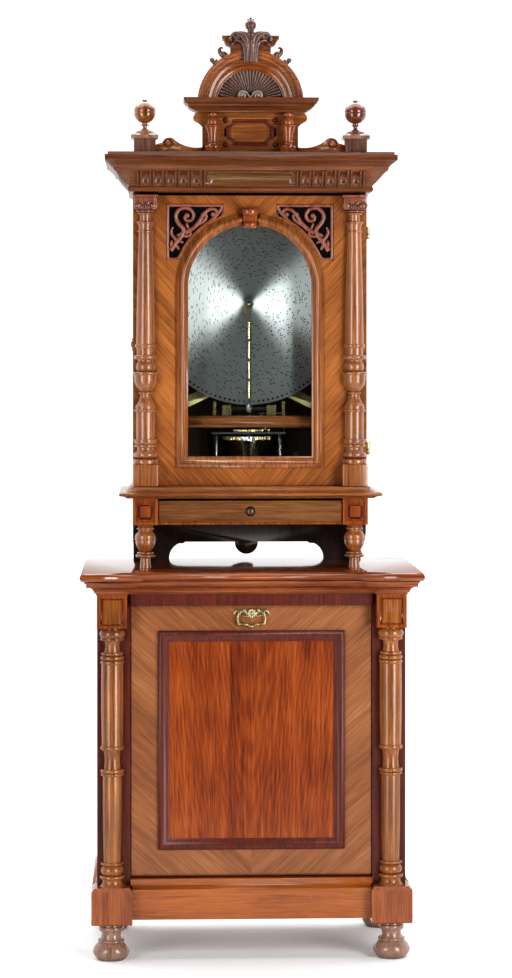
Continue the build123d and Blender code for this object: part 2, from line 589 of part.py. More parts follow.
def flap_handle():
    """The brass plate with two ears near the top of the flap, and the drop bail that swings in them."""
    half, high = HANDLE_PLATE_WIDTH / 2, HANDLE_PLATE_HEIGHT / 2
    right = [(0, high), (10, high - 4), (20, high - 2), (34, high - 5, "arc"), (half, -1), (half - 8, -8, "arc"),
             (half - 20, -5), (12, -high + 2), (5, -high), (0, -high)]
    points = [(x, Z_BAIL + z, *mark) for x, z, *mark in right]
    points += [(-x, Z_BAIL + z, *mark) for x, z, *mark in reversed(right[1:-1])]
    plate = prism_y(points, FLAP_FRONT_Y - 2, FLAP_FRONT_Y)
    pin_inner, pin_outer = BAIL_RADIUS - 8, BAIL_RADIUS - BAIL_WIRE_RADIUS - CLEARANCE
    ear = rod_x(4.2, BAIL_Y, Z_BAIL, pin_inner, pin_outer)
    ear = ear + block(pin_inner, pin_outer, BAIL_Y, FLAP_FRONT_Y - 2, Z_BAIL - 4.2, Z_BAIL + 4.2)
    ear = ear - rod_x(BAIL_PIN_RADIUS + RUNNING_FIT, BAIL_Y, Z_BAIL, pin_inner - 1, pin_outer + 1)
    save("handle_plate", plate + ear + mirror(ear, about=Plane.YZ))

    ring = Plane.XY * Pos(BAIL_RADIUS, 0) * RegularPolygon(BAIL_WIRE_RADIUS, 6)
    bail = Pos(0, BAIL_Y, Z_BAIL) * revolve(ring, Axis.Y, 180)
    pin = rod_x(BAIL_PIN_RADIUS, BAIL_Y, Z_BAIL, pin_inner - 1, BAIL_RADIUS)
    save("bail_handle", bail + pin + mirror(pin, about=Plane.YZ))


# ------------------------------------------------------------------ music box case
def case_feet():
    """Two turned front feet, and the shaped aprons that stand as feet at the sides and back."""
    steps = [(0, 14), (20, 12), (6, 22), (8, 22), (8, 10), (32, 26), (14, 24), (5, 14), (12, 28)]
    steps = fitted(steps, TURNED_FOOT_HEIGHT, [1])
    front_feet = [turned(steps, s * COLUMN_X, COLUMN_Y, Z_CASE_FOOT) for s in SIDES]

    z0, z1 = Z_CASE_FOOT, Z_CORNER_BLOCK
    drop = z1 - APRON_DEPTH
    half = CASE_HALF
    foot = [(29, drop), (155, drop), (161, drop - 4), (171, drop - 4), (188, drop - 17, "arc"), (196, z0),
            (half, z0), (half, z1)]
    left_foot = [(-x, z, *mark) for x, z, *mark in reversed(foot)]
    lobe = [(0, drop - 31, "arc")]
    back_apron = prism_y(left_foot + lobe + foot, CASE_BACK_Y - APRON_THICKNESS, CASE_BACK_Y)
    front_y = COLUMN_Y + COLUMN_BLOCK / 2
    side = prism_x([(CASE_BACK_Y - APRON_THICKNESS, z1), (CASE_BACK_Y - APRON_THICKNESS, z0),
                    (CASE_BACK_Y - 70, z0), (CASE_BACK_Y - 82, drop - 17, "arc"), (CASE_BACK_Y - 100, drop),
                    (front_y + 30, drop + 15), (front_y, drop + 38), (front_y, z1)],
                   half - APRON_THICKNESS, half)
    save("case_feet", front_feet, back_apron, mirrored(side))


def case_base():
    """The base board with its moulding, and the shallow housing for the coin drawer under it."""
    nose = BASE_MOULDING_PROJECTION
    profile = [(0, 0), (nose - 19, 0), (nose - 10, 5, "arc"), (nose - 2, 6), (nose, 9), (nose, 12), (nose - 4, 14),
               (nose - 14, 15), (nose - 24, 19, "arc"), (nose - 29, BASE_MOULDING_HEIGHT)]
    board = moulding(profile, CASE_HALF, CASE_FACE_Y, CASE_BACK_Y, Z_BASE_MOULDING)
    slot = block(-COIN_CHUTE_FOOT_X - COIN_CHUTE_THICKNESS, -COIN_CHUTE_FOOT_X + 2 * COIN_CHUTE_THICKNESS, COIN_CHUTE_Y - COIN_CHUTE_DEPTH / 2,
                 COIN_CHUTE_Y + COIN_CHUTE_DEPTH / 2, Z_BASE_MOULDING - 1, Z_CASE + 1)
    save("case_base", board - slot)

    side = block(CASE_HALF - PANEL_THICKNESS, CASE_HALF, COLUMN_Y + COLUMN_BLOCK / 2, CASE_BACK_Y,
                 Z_CORNER_BLOCK, Z_BASE_MOULDING)
    inner = CASE_HALF - PANEL_THICKNESS
    back = block(-inner, inner, CASE_BACK_Y - BACK_THICKNESS, CASE_BACK_Y,
                 Z_CORNER_BLOCK + HOUSING_FLOOR, Z_BASE_MOULDING)
    floor = block(-inner, inner, COLUMN_Y + COLUMN_BLOCK / 2, CASE_BACK_Y,
                  Z_CORNER_BLOCK, Z_CORNER_BLOCK + HOUSING_FLOOR)
    sill = block(-DRAWER_HALF, DRAWER_HALF, DRAWER_FRONT_Y + 4, COLUMN_Y + COLUMN_BLOCK / 2,
                 Z_CORNER_BLOCK, Z_CORNER_BLOCK + HOUSING_FLOOR)
    guide_x = DRAWER_HALF - 12 + SLIDE_GAP
    guide = block(guide_x, inner, COLUMN_Y + COLUMN_BLOCK / 2, CASE_BACK_Y - BACK_THICKNESS,
                  Z_CORNER_BLOCK + HOUSING_FLOOR, Z_CORNER_BLOCK + HOUSING_FLOOR + 16)
    x0, x1 = COLUMN_X - COLUMN_BLOCK / 2, CASE_HALF
    corner = block(x0, x1, CASE_FACE_Y, CASE_FACE_Y + COLUMN_BLOCK, Z_CORNER_BLOCK, Z_BASE_MOULDING)
    z_middle = (Z_CORNER_BLOCK + Z_BASE_MOULDING) / 2
    pocket = block(x0 + 8, x1 - 8, CASE_FACE_Y, CASE_FACE_Y + 4, z_middle - 24, z_middle + 24)
    boss = loft([Plane.XZ.offset(-CASE_FACE_Y - 4) * Pos(COLUMN_X, z_middle) * Rectangle(38, 40),
                 Plane.XZ.offset(-CASE_FACE_Y + 2) * Pos(COLUMN_X, z_middle) * Rectangle(24, 26)])
    save("drawer_housing", mirrored(side), back, floor + sill, mirrored(guide), mirrored(corner - pocket + boss))


def coin_drawer():
    """The coin drawer: its front, its box, and the brass lock plate on the front."""
    back_of_front = DRAWER_FRONT_Y + DRAWER_FRONT_THICKNESS
    half = DRAWER_HALF - DOOR_GAP
    front = block(-half, half, DRAWER_FRONT_Y, back_of_front, Z_DRAWER, Z_DRAWER + DRAWER_HEIGHT)
    box_half = DRAWER_HALF - 12
    box = block(-box_half, box_half, back_of_front, DRAWER_FRONT_Y + DRAWER_DEPTH, Z_DRAWER,
                Z_DRAWER + DRAWER_BOX_HEIGHT)
    inside = block(DRAWER_WALL - box_half, box_half - DRAWER_WALL, back_of_front,
                   DRAWER_FRONT_Y + DRAWER_DEPTH - DRAWER_WALL, Z_DRAWER + DRAWER_WALL,
                   Z_DRAWER + DRAWER_BOX_HEIGHT)
    save("coin_drawer", front + (box - inside))

    z = Z_DRAWER + DRAWER_HEIGHT / 2
    plate = rod_y(ESCUTCHEON_RADIUS, 0, z, DRAWER_FRONT_Y - 1.5, DRAWER_FRONT_Y)
    plate = plate + rod_y(ESCUTCHEON_RADIUS - 4, 0, z, DRAWER_FRONT_Y - 3, DRAWER_FRONT_Y - 1.5)
    keyhole = rod_y(2, 0, z + 2, DRAWER_FRONT_Y - 4, DRAWER_FRONT_Y)
    keyhole = keyhole + block(-1, 1, DRAWER_FRONT_Y - 4, DRAWER_FRONT_Y, z - 5, z + 2)
    save("drawer_escutcheon", plate - keyhole)


def case_shell():
    """Sides, back and the board over the movement. The right side has the winding hole."""
    side = block(CASE_INNER, CASE_HALF, CASE_FRONT_Y, CASE_BACK_Y, Z_CASE, Z_CORNICE)
    hole = rod_x(16, BARREL_Y, Z_WINDING, CASE_INNER, CASE_HALF)
    slit = block(-CASE_HALF, -CASE_INNER, COIN_CHUTE_Y - 14, COIN_CHUTE_Y + 14, Z_COIN_PLATE - 2, Z_COIN_PLATE + 3)
    save("case_sides", side - hole, mirror(side, about=Plane.YZ) - slit)
    save("case_back", block(-CASE_INNER, CASE_INNER, CASE_BACK_Y - BACK_THICKNESS, CASE_BACK_Y, Z_CASE, Z_CORNICE))


def cornice():
    """The fluted main cornice, and the bare name board let into the middle of it."""
    p = CORNICE_PROJECTION
    profile = [(p - 65, 0), (p - 57, 2), (p - 55, 7, "arc"), (p - 57, 13), (p - 57, 15), (p - 45, 27, "arc"),
               (p - 27, 49), (p - 21, 51), (p - 20, 57), (p - 12, 66, "arc"), (p - 1, 74), (p, 75), (p, 87),
               (p - 7, 88), (p - 7, CORNICE_HEIGHT)]
    body = moulding(profile, CASE_HALF, CASE_FACE_Y, CASE_BACK_Y, Z_CORNICE)
    hollow = block(-CASE_INNER, CASE_INNER, CASE_FRONT_Y, CASE_BACK_Y - BACK_THICKNESS,
                   Z_CORNICE, Z_PEDIMENT - 12)
    body = body - hollow
    lean = math.degrees(math.atan2(30, 34))
    face_y = CASE_FACE_Y - (p - 42)
    face_z = Z_CORNICE + 32
    first = CASE_HALF - 16
    for k in range(FLUTES_PER_SIDE):
        x = first - (k + 0.5) * FLUTE_PITCH
        flute = Rot(lean, 0, 0) * Pos(0, -FLUTE_RADIUS + 3.5, 3) * Cylinder(FLUTE_RADIUS, 36)
        for s in SIDES:
            body = body - Pos(s * x, face_y, face_z) * flute
    board = Pos(0, face_y, face_z + 1) * Rot(lean, 0, 0) * Pos(0, 5, 0) * Rot(90, 0, 0)
    plate = board * extrude(SlotOverall(NAMEPLATE_WIDTH, NAMEPLATE_HEIGHT), 7)
    save("cornice", body - plate)
    face = board * Pos(0, 0, 7) * extrude(SlotOverall(NAMEPLATE_WIDTH - 8, NAMEPLATE_HEIGHT - 8), -2)
    save("name_board", plate - face)


def window_outline(grow, drop=0.0):
    """The arched outline of the window, grown by a margin. The sill is lowered by drop as well."""
    half = WINDOW_HALF_WIDTH + grow
    low = Z_WINDOW - grow - drop
    return [(-half, low), (half, low), (half, Z_SPRINGING), (0, Z_SPRINGING + half, "arc"), (-half, Z_SPRINGING)]


def spandrel_outline(inset):
    """The right-hand spandrel: straight on three sides and curved round the window on the fourth."""
    radius = SPANDREL_ARC_RADIUS + inset
    x0, x1 = SPANDREL_INNER_X + inset, SPANDREL_OUTER_X - inset
    z0, z1 = Z_SPANDREL + inset, Z_SPANDREL_TOP - inset
    x_low = math.sqrt(radius ** 2 - (z0 - Z_SPRINGING) ** 2)
    z_inner = Z_SPRINGING + math.sqrt(radius ** 2 - x0 ** 2)
    middle = (math.atan2(z0 - Z_SPRINGING, x_low) + math.atan2(z_inner - Z_SPRINGING, x0)) / 2
    return [(x_low, z0), (x1, z0), (x1, z1), (x0, z1), (x0, z_inner),
            (radius * math.cos(middle), Z_SPRINGING + radius * math.sin(middle), "arc")]


def door():
    """The front door: frame, window moulding, keystone and glass."""
    frame = block(-CASE_HALF, CASE_HALF, DOOR_PLANE_Y, DOOR_BACK_Y, Z_DOOR, Z_DOOR_TOP)
    frame = frame - prism_y(window_outline(0), DOOR_PLANE_Y, DOOR_BACK_Y)
    frame = frame - prism_y(window_outline(GLASS_REBATE), DOOR_BACK_Y - GLASS_REBATE_DEPTH, DOOR_BACK_Y)
    spandrel = prism_y(spandrel_outline(0), DOOR_PLANE_Y, DOOR_BACK_Y)
    frame = frame - spandrel - mirror(spandrel, about=Plane.YZ)
    save("door_frame", frame)

    width = WINDOW_MOULDING_WIDTH
    steps = [(width, width - 9, 5), (width - 9, 8, 9), (8, 0, 6)]
    y = DOOR_PLANE_Y
    whole = None
    for outer, inner, rise in steps:
        ring = prism_y(window_outline(outer), y - rise, y) - prism_y(window_outline(inner), y - rise, y)
        whole = ring if whole is None else whole + ring
    keystone_half = KEYSTONE_WIDTH / 2
    z_top = Z_SPRINGING + WINDOW_HALF_WIDTH + width + 14
    z_low = Z_SPRINGING + WINDOW_HALF_WIDTH - 8
    key_points = [(-keystone_half + 5, z_low), (keystone_half - 5, z_low), (keystone_half, z_top),
                  (-keystone_half, z_top)]
    keystone_space = prism_y(key_points, y - 30, y)
    side = [(y, z_low), (y - 12, z_low), (y - 19, z_low + 8, "arc"), (y - 12, z_low + 16), (y - 14, z_low + 28),
            (y - 24, z_top - 14, "arc"), (y - 16, z_top), (y, z_top)]
    save("keystone", prism_x(side, -keystone_half, keystone_half) & keystone_space)

    pane_y = DOOR_BACK_Y - GLASS_REBATE_DEPTH
    fit = GLASS_REBATE - DOOR_GAP
    save("window_glass", prism_y(window_outline(fit), pane_y, pane_y + GLASS_THICKNESS))
    bead_y = pane_y + GLASS_THICKNESS
    bead = prism_y(window_outline(GLASS_REBATE), bead_y, DOOR_BACK_Y)
    bead = bead - prism_y(window_outline(0), bead_y, DOOR_BACK_Y)
    save("window_moulding", whole - keystone_space, bead)


def spandrel_fretwork():
    """A fret in each spandrel: a border and leafy scrolls, sawn from one board."""
    y0 = DOOR_PLANE_Y + 2
    y1 = y0 + FRET_THICKNESS
    border = outline(spandrel_outline(0)) - outline(spandrel_outline(SPANDREL_BORDER))
    x, z = SPANDREL_OUTER_X, Z_SPANDREL_TOP
    scrolls = [((8, 8), (34, 30), (48, 50), (68, 67)), ((8, 50), (24, 66), (26, 88), (42, 98)),
               ((50, 8), (66, 24), (88, 26), (98, 42)), ((8, 108), (20, 118), (22, 136)),
               ((108, 8), (118, 20), (136, 21)), ((30, 28), (54, 28), (62, 38)), ((28, 30), (28, 54), (38, 62))]
    face = border
    for scroll in scrolls:
        face = face + trace(Polyline(*[(x - a, z - b) for a, b in scroll]), 8)
    face = face & outline(spandrel_outline(0))
    fret = extrude(Plane.XZ.offset(-y0) * face, -(y1 - y0))
    save("spandrel_fretwork", mirrored(fret))


def door_columns():
    """The columns on the door: plinth block, turned shaft and scrolled capital."""
    r = COLUMN_RADIUS
    base = [(0, r + 8), (12, r + 8), (3, r - 4), (7, r - 4), (4, r + 6.5), (9, r + 6.5), (14, r), (60, r)]
    vase = [(4, r + 5), (8, r + 5), (6, r - 9), (14, r - 9), (40, r + 7), (9, r + 12), (7, r + 5), (10, r - 7)]
    shaft = [(10, r - 7), (6, r + 8), (10, r + 8), (10, r + 1.5), (20, r)]
    neck = [(0, r - 5), (26, r - 6), (5, r - 2), (20, r - 7), (6, r + 2)]
    z0 = Z_DOOR + COLUMN_PLINTH_HEIGHT
    total = Z_DOOR_TOP - CAPITAL_HEIGHT - z0
    tapered = len(base + vase + shaft)
    column = turned(fitted(base + vase + shaft + neck, total, [tapered]), COLUMN_X, COLUMN_Y, z0)
    behind = block(0, CASE_WIDTH, DOOR_PLANE_Y, CASE_BACK_Y, z0, Z_DOOR_TOP)
    x0, x1 = COLUMN_X - COLUMN_BLOCK / 2, CASE_HALF
    plinth = block(x0, x1, CASE_FACE_Y, DOOR_PLANE_Y, Z_DOOR, z0)

    z1 = Z_DOOR_TOP - CAPITAL_HEIGHT
    volute_x = COLUMN_X - 21.5
    bell = turned([(0, r - 1), (8, r + 4), (CAPITAL_HEIGHT - 14, r + 6)], COLUMN_X, COLUMN_Y, z1)
    capital = bell + block(x0 + 4, x1 - 4, COLUMN_Y - 26, DOOR_PLANE_Y, z1 + 22, Z_DOOR_TOP - 6)
    capital = capital + block(x0, x1, CASE_FACE_Y, DOOR_PLANE_Y, Z_DOOR_TOP - 6, Z_DOOR_TOP)
    for x in (volute_x, 2 * COLUMN_X - volute_x):
        capital = capital + rod_y(9, x, z1 + 18, COLUMN_Y - 26, DOOR_PLANE_Y)
    save("door_columns", mirrored(plinth), mirrored(column - behind), mirrored(capital - behind))


def door_hinges():
    """Two butt hinges in the gap between the door and the right side. The pins stay with the case."""
    case_half, door_half = [], []
    middle_y = HINGE_Y
    for z in (Z_DOOR + HINGE_END_MARGIN, Z_DOOR_TOP - HINGE_END_MARGIN):
        half = HINGE_KNUCKLE_LENGTH / 2
        low = rod(HINGE_KNUCKLE_RADIUS, HINGE_X, middle_y, z - half, z)
        low = low + rod(HINGE_PIN_RADIUS, HINGE_X, middle_y, z - half, z + half)
        leaf = block(CASE_HALF - HINGE_LEAF_WIDTH, HINGE_X, CASE_FRONT_Y - HINGE_LEAF_THICKNESS, CASE_FRONT_Y,
                     z - half, z)
        case_half.append(low + leaf)
        top = rod(HINGE_KNUCKLE_RADIUS, HINGE_X, middle_y, z + CLEARANCE, z + half)
        leaf = block(CASE_HALF - HINGE_LEAF_WIDTH, HINGE_X, DOOR_BACK_Y, DOOR_BACK_Y + HINGE_LEAF_THICKNESS,
                     z + CLEARANCE, z + half)
        bore = rod(HINGE_PIN_RADIUS + RUNNING_FIT, HINGE_X, middle_y, z, z + half)
        door_half.append((top + leaf) - bore)
    save("case_hinge_halves", case_half)
    save("door_hinge_halves", door_half)


# ------------------------------------------------------------------ pediment
def finials():
    """Two capped pedestals on the cornice, each with a turned ball on a dome."""
    half, cap = FINIAL_BLOCK / 2, FINIAL_CAP / 2
    y = PEDIMENT_BOARD_Y + 1
    z1 = Z_PEDIMENT + FINIAL_BLOCK_HEIGHT
    pedestals, balls = [], []
    r = FINIAL_BALL_RADIUS
    low = r * math.sqrt(0.5)
    steps = [(0, 24), (4, 24), (8, 9), (8, 6), (4, 9), (r - low, low), (low - 1, r), (2, r), (low - 1, low),
             (r - low, 8), (4, 3)]
    for s in SIDES:
        x = s * FINIAL_X
        post = block(x - half, x + half, y - half, y + half, Z_PEDIMENT, z1)
        cap_block = block(x - cap, x + cap, y - cap, y + cap, z1 - 12, z1 - 4)
        slope = loft([Plane.XY.offset(z1 - 4) * Pos(x, y) * Rectangle(2 * cap, 2 * cap),
                      Plane.XY.offset(z1) * Pos(x, y) * Rectangle(2 * half, 2 * half)])
        pedestals.append(post + cap_block + slope)
        balls.append(turned(steps, x, y, z1))
    save("finials", pedestals, balls)


def scroll_brackets():
    """Two sawn scrolls that run down from the pediment block to the finial pedestals."""
    inner, outer = PEDIMENT_HALF_WIDTH, FINIAL_X - FINIAL_BLOCK / 2
    z = Z_PEDIMENT
    volute_x, volute_z = outer - 30, z + 25
    points = [(inner, z), (outer, z), (outer, z + 22), (volute_x + 14, z + 27), (volute_x, z + 39, "arc"),
              (volute_x - 18, z + 32), (inner + 28, z + 16, "arc"), (inner, z + 16)]
    y0 = PEDIMENT_BOARD_Y - 8
    board = prism_y(points, y0, PEDIMENT_BOARD_Y + 8)
    eye = rod_y(11, volute_x, volute_z, y0, y0 + 3) - rod_y(8, volute_x, volute_z, y0, y0 + 3)
    save("scroll_brackets", mirrored(board - eye))


def pediment_board():
    """The middle block of the pediment: scrolled ears, a notched sunk panel, four holes and two slits."""
    half = PEDIMENT_HALF_WIDTH
    z0, z1 = Z_PEDIMENT, Z_PEDIMENT_CORNICE
    right = [(half, z0), (half, z1 - 34), (half + 8, z1 - 26, "arc"), (half + 19, z1 - 20),
             (half + 22, z1 - 10, "arc"), (half + 13, z1)]
    left = [(-x, z, *mark) for x, z, *mark in reversed(right)]
    y0 = PEDIMENT_BOARD_Y
    board = prism_y(right + left, y0, y0 + PEDIMENT_BOARD_THICKNESS)
    middle = z1 - 47
    w, h, notch = 53.0, 26.0, 12.0
    panel = block(-w, w, y0, y0 + 5, middle - h, middle + h)
    for s in SIDES:
        for t in SIDES:
            panel = panel - rod_y(notch, s * w, middle + t * h, y0, y0 + 5)
            board = board - rod_y(6.5, s * 61, middle + t * 30, y0, y0 + 10)
        board = board - block(s * 61 - 2.5, s * 61 + 2.5, y0, y0 + 8, middle - 10, middle + 10)
    strip = block(-half, half, y0 - 6, y0, z0, z0 + 10)
    save("pediment_board", (board - panel) + strip)


def balusters():
    """The pair of small balusters in front of the board, on their blocks."""
    z0 = Z_PEDIMENT + BALUSTER_BLOCK_HEIGHT
    total = Z_PEDIMENT_CORNICE - z0
    steps = [(0, 18.5), (7, 18.5), (5, 10), (5, 13), (34, 17.5), (4, 19), (6, 11), (14, 9), (6, 13.5)]
    steps = fitted(steps, total, [4])
    half = BALUSTER_BLOCK / 2
    posts, blocks = [], []
    for s in SIDES:
        x = s * BALUSTER_X
        posts.append(turned(steps, x, BALUSTER_Y, z0))
        blocks.append(block(x - half, x + half, BALUSTER_Y - half, PEDIMENT_BOARD_Y - 6, Z_PEDIMENT, z0))
    save("balusters", posts, blocks)


def pediment_cornice():
    """The small cornice over the board and balusters."""
    p = PEDIMENT_CORNICE_PROJECTION
    profile = [(0, 0), (3, 0), (3, 3), (p - 20, 6, "arc"), (p - 10, 14), (p - 9, 18), (p - 4, 20, "arc"),
               (p - 2, 24), (p, 25), (p, PEDIMENT_CORNICE_HEIGHT)]
    half = PEDIMENT_HALF_WIDTH + 15
    save("pediment_cornice", moulding(profile, half, BALUSTER_Y - BALUSTER_BLOCK / 2 - 2,
                                      PEDIMENT_BOARD_Y + PEDIMENT_BOARD_THICKNESS + 8, Z_PEDIMENT_CORNICE))


def arch():
    """The moulded half-round arch, with the scallop shell in it."""
    r, w, depth = ARCH_RADIUS, ARCH_RING_WIDTH, ARCH_DEPTH
    section = [(r - w, 0), (r, 0), (r, depth), (r - 9, depth), (r - 11, depth - 6), (r - 18, depth - 7),
               (r - 25, depth - 17), (r - 33, depth - 17), (r - 39, depth - 20), (r - w, depth - 24)]
    back_y = ARCH_FRONT_Y + depth
    ring = revolve(Plane.XY * outline([(x, back_y - y, *mark) for x, y, *mark in section]), Axis.Y, 360)
    ring = Pos(0, 0, Z_ARCH) * ring
    below = block(-2 * r, 2 * r, ARCH_FRONT_Y - 50, back_y + 50, Z_ARCH - 2 * r, Z_ARCH_FOOT)
    save("pediment_arch", ring - below)

    inner = r - w - CLEARANCE
    step = math.pi / SHELL_RIBS
    width = inner * math.sin(step / 2) - 0.6
    points = [(-inner, Z_ARCH - 1), (inner, Z_ARCH - 1)]
    for k in range(SHELL_RIBS):
        angle = (k + 0.5) * step
        points += [(radius * math.cos(angle + turn), Z_ARCH + radius * math.sin(angle + turn))
                   for radius, turn in ((inner, -0.3 * step), (inner, 0.3 * step), (inner - 4, step / 2))]
    shell = prism_y(points[:-1], back_y - 14, back_y)
    for k in range(SHELL_RIBS):
        near = Plane.XY.offset(6) * make_face(Polyline((-1, 1), (1, 1), (0, -2), close=True))
        far = Plane.XY.offset(inner - 4) * make_face(Polyline((-width, 1), (width, 1), (0, -9), close=True))
        turn = Rot(0, 90 - 180 * (k + 0.5) / SHELL_RIBS, 0)
        shell = shell + Pos(0, back_y - 14, Z_ARCH) * turn * loft([near, far])
    for s in SIDES:
        shell = shell + rod_y(11, s * 22, Z_ARCH_FOOT + 12, back_y - 27, back_y - 10)
        shell = shell - rod_y(6.5, s * 22, Z_ARCH_FOOT + 12, back_y - 27, back_y - 24)
    save("shell", shell - below)


def crest():
    """The crest over the arch: a small cornice, a carved leaf keystone, side leaves and a ball."""
    r = ARCH_RADIUS
    y0, y1 = ARCH_FRONT_Y, ARCH_FRONT_Y + ARCH_DEPTH
    z_top = Z_ARCH + r + CREST_HEIGHT
    half = CREST_HALF_WIDTH
    profile = [(half, z_top), (half, z_top - 8), (half - 5, z_top - 10), (half - 8, z_top - 19, "arc"),
               (half - 17, z_top - 24), (half - 20, z_top - 28), (half - 20, z_top - 70)]
    body = prism_y(profile + [(-x, z, *mark) for x, z, *mark in reversed(profile)], y0, y1)
    arch_space = rod_y(r, 0, Z_ARCH, y0, y1)
    save("crest_cornice", body - arch_space)

    front = y0 - 10
    right = [(18, Z_ARCH + r - 28), (17, z_top - 30), (30, z_top - 9), (44, z_top - 6), (51, z_top + 2),
             (47, z_top + 12), (38, z_top + 14), (24, z_top + 17), (12, z_top + 10)]
    left = [(-x, z, *mark) for x, z, *mark in reversed(right)]
    key = prism_y(right + left, front, y0)
    ball_y = front + CREST_BALL_RADIUS
    r_ball = CREST_BALL_RADIUS
    low = r_ball * math.sqrt(0.5)
    ball = turned([(0, 6), (12, 6), (r_ball - low, low), (low, r_ball), (low, low), (r_ball - low, 4), (4, 2)],
                  0, ball_y, z_top)
    boss = block(-8, 8, front - 6, front, z_top - 18, z_top - 2)
    crown = block(-16, 16, y0, y0 + 20, z_top, z_top + 12)
    leaves = []
    for angle, size in ((55, 1.0), (41, 0.62)):
        shape = [(-14 * size, -3), (14 * size, -3), (9 * size, 10 * size), (14 * size, 26 * size),
                 (3 * size, 22 * size), (-6 * size, 12 * size)]
        sprig = prism_y(shape, y0 + 10, y1 - 12)
        turn = Rot(0, 90 - angle, 0) * Pos(0, 0, r)
        leaves += mirrored(Pos(0, 0, Z_ARCH) * turn * sprig - arch_space)
    save("crest_carving", key + boss + crown + ball, leaves)


# ------------------------------------------------------------------ movement
def tune_disc():
    """The steel tune disc, with its centre hole and the ring of drive holes near its rim."""
    face = Circle(DISC_RADIUS) - Circle(SPINDLE_RADIUS + RUNNING_FIT)
    turn = 360 / RIM_HOLES
    holes = [Rot(0, 0, k * turn - 90) * Pos(RIM_HOLE_CIRCLE, 0) * RegularPolygon(RIM_HOLE_RADIUS, 4)
             for k in range(RIM_HOLES)]
    face = face - holes
    save("tune_disc", Pos(0, DISC_FRONT_Y, Z_DISC) * extrude(Plane.XZ * face, -DISC_THICKNESS))


def bedplate():
    """The cast bedplate behind the disc with its four arms, and the spindle that carries the disc."""
    y0, y1 = BEDPLATE_Y, BEDPLATE_Y + BEDPLATE_THICKNESS
    z1 = Z_DISC + 40
    z0 = z1 - BEDPLATE_HEIGHT
    half = BEDPLATE_HALF_WIDTH
    plate = block(-half, half, y0, y1, z0, z1)
    plate = plate - block(-half + 16, half - 16, y0, y1, z0 + 16, z1 - 60)
    plate = plate + block(-12, 12, y0, y1, z0, z1)
    lug_z = (z0 - 90, z1 + 60)
    for z_start, z_lug in zip((z0 + 14, z1 - 14), lug_z):
        across = CASE_INNER - half + 10
        length = math.hypot(across, z_lug - z_start)
        angle = math.degrees(math.atan2(z_lug - z_start, across))
        arm = Box(length + 20, BEDPLATE_THICKNESS, BEDPLATE_ARM_WIDTH)
        arm = Pos(half - 10 + across / 2, (y0 + y1) / 2, (z_start + z_lug) / 2) * Rot(0, -angle, 0) * arm
        lug = block(CASE_INNER - 12, CASE_INNER, y0 - 8, y1 + 8, z_lug - 26, z_lug + 26)
        arm = (arm & block(0, CASE_INNER, y0, y1, Z_CASE, Z_CORNICE)) + lug
        plate = plate + arm + mirror(arm, about=Plane.YZ)
    boss = rod_y(10, 0, Z_DISC, DISC_BACK_Y + CLEARANCE, y0)
    spindle = rod_y(SPINDLE_RADIUS, 0, Z_DISC, DISC_FRONT_Y - SPINDLE_REACH, DISC_BACK_Y + 2)
    save("bedplate", plate, boss + spindle)


def star_wheels():
    """The star wheels on their shaft under the spindle, their gantry, and the combs on both sides of it."""
    top = Z_STARS + (STAR_WHEELS - 1) * STAR_WHEEL_PITCH
    shaft_low, shaft_high = Z_STARS - 12, top + 12
    step = 360 / STAR_POINTS
    hub = STAR_WHEEL_RADIUS - 4
    points = []
    for k in range(STAR_POINTS):
        for radius, angle in ((hub, (k - 0.5) * step), (STAR_WHEEL_RADIUS, k * step)):
            points.append((radius * math.cos(math.radians(angle)), radius * math.sin(math.radians(angle))))
    wheel = extrude(make_face(Polyline(*points, close=True)), STAR_WHEEL_THICKNESS)
    bar_low, bar_high = Z_STARS - 3, top + STAR_WHEEL_THICKNESS + 2
    row = Pos(0, STAR_Y, bar_low) * extrude(RegularPolygon(STAR_SHAFT_RADIUS + 1, 6), bar_high - bar_low)
    row = row + rod(STAR_SHAFT_RADIUS, 0, STAR_Y, shaft_low, bar_low)
    row = row + rod(STAR_SHAFT_RADIUS, 0, STAR_Y, bar_high, shaft_high)
    for k in range(STAR_WHEELS):
        row = row + Pos(0, STAR_Y, Z_STARS + k * STAR_WHEEL_PITCH) * wheel
    save("star_wheels", row)

    back = block(-7, 7, STAR_Y + STAR_WHEEL_RADIUS + 3, BEDPLATE_Y, Z_STARS - 14, top + 14)
    bore = rod(STAR_SHAFT_RADIUS + RUNNING_FIT, 0, STAR_Y, shaft_low - 5, shaft_high + 5)
    for z0, z1 in ((Z_STARS - 14, Z_STARS - 4), (top + STAR_WHEEL_THICKNESS + 3, top + 14)):
        back = back + block(-7, 7, STAR_Y - 5, BEDPLATE_Y, z0, z1)
    gantry = back - bore

    low = Z_STARS - STAR_WHEEL_PITCH / 2
    high = Z_STARS + (STAR_WHEELS - 0.5) * STAR_WHEEL_PITCH
    slit = 1.2
    tip_x = STAR_WHEEL_RADIUS + 3
    root_x = tip_x + COMB_REACH - 24
    outer = tip_x + COMB_REACH
    points = [(outer, low)]
    for k in range(STAR_WHEELS):
        z = low + k * STAR_WHEEL_PITCH
        points += [(root_x, z), (root_x, z + slit), (tip_x, z + slit), (tip_x, z + STAR_WHEEL_PITCH)]
    points += [(outer, high)]
    comb_y = STAR_Y + 4
    comb = prism_y(points, comb_y, comb_y + COMB_THICKNESS)
    rest = block(root_x + 2, outer, comb_y + COMB_THICKNESS, BEDPLATE_Y, low, high)
    save("combs", mirrored(comb))
    save("comb_bridge", gantry, mirrored(rest))


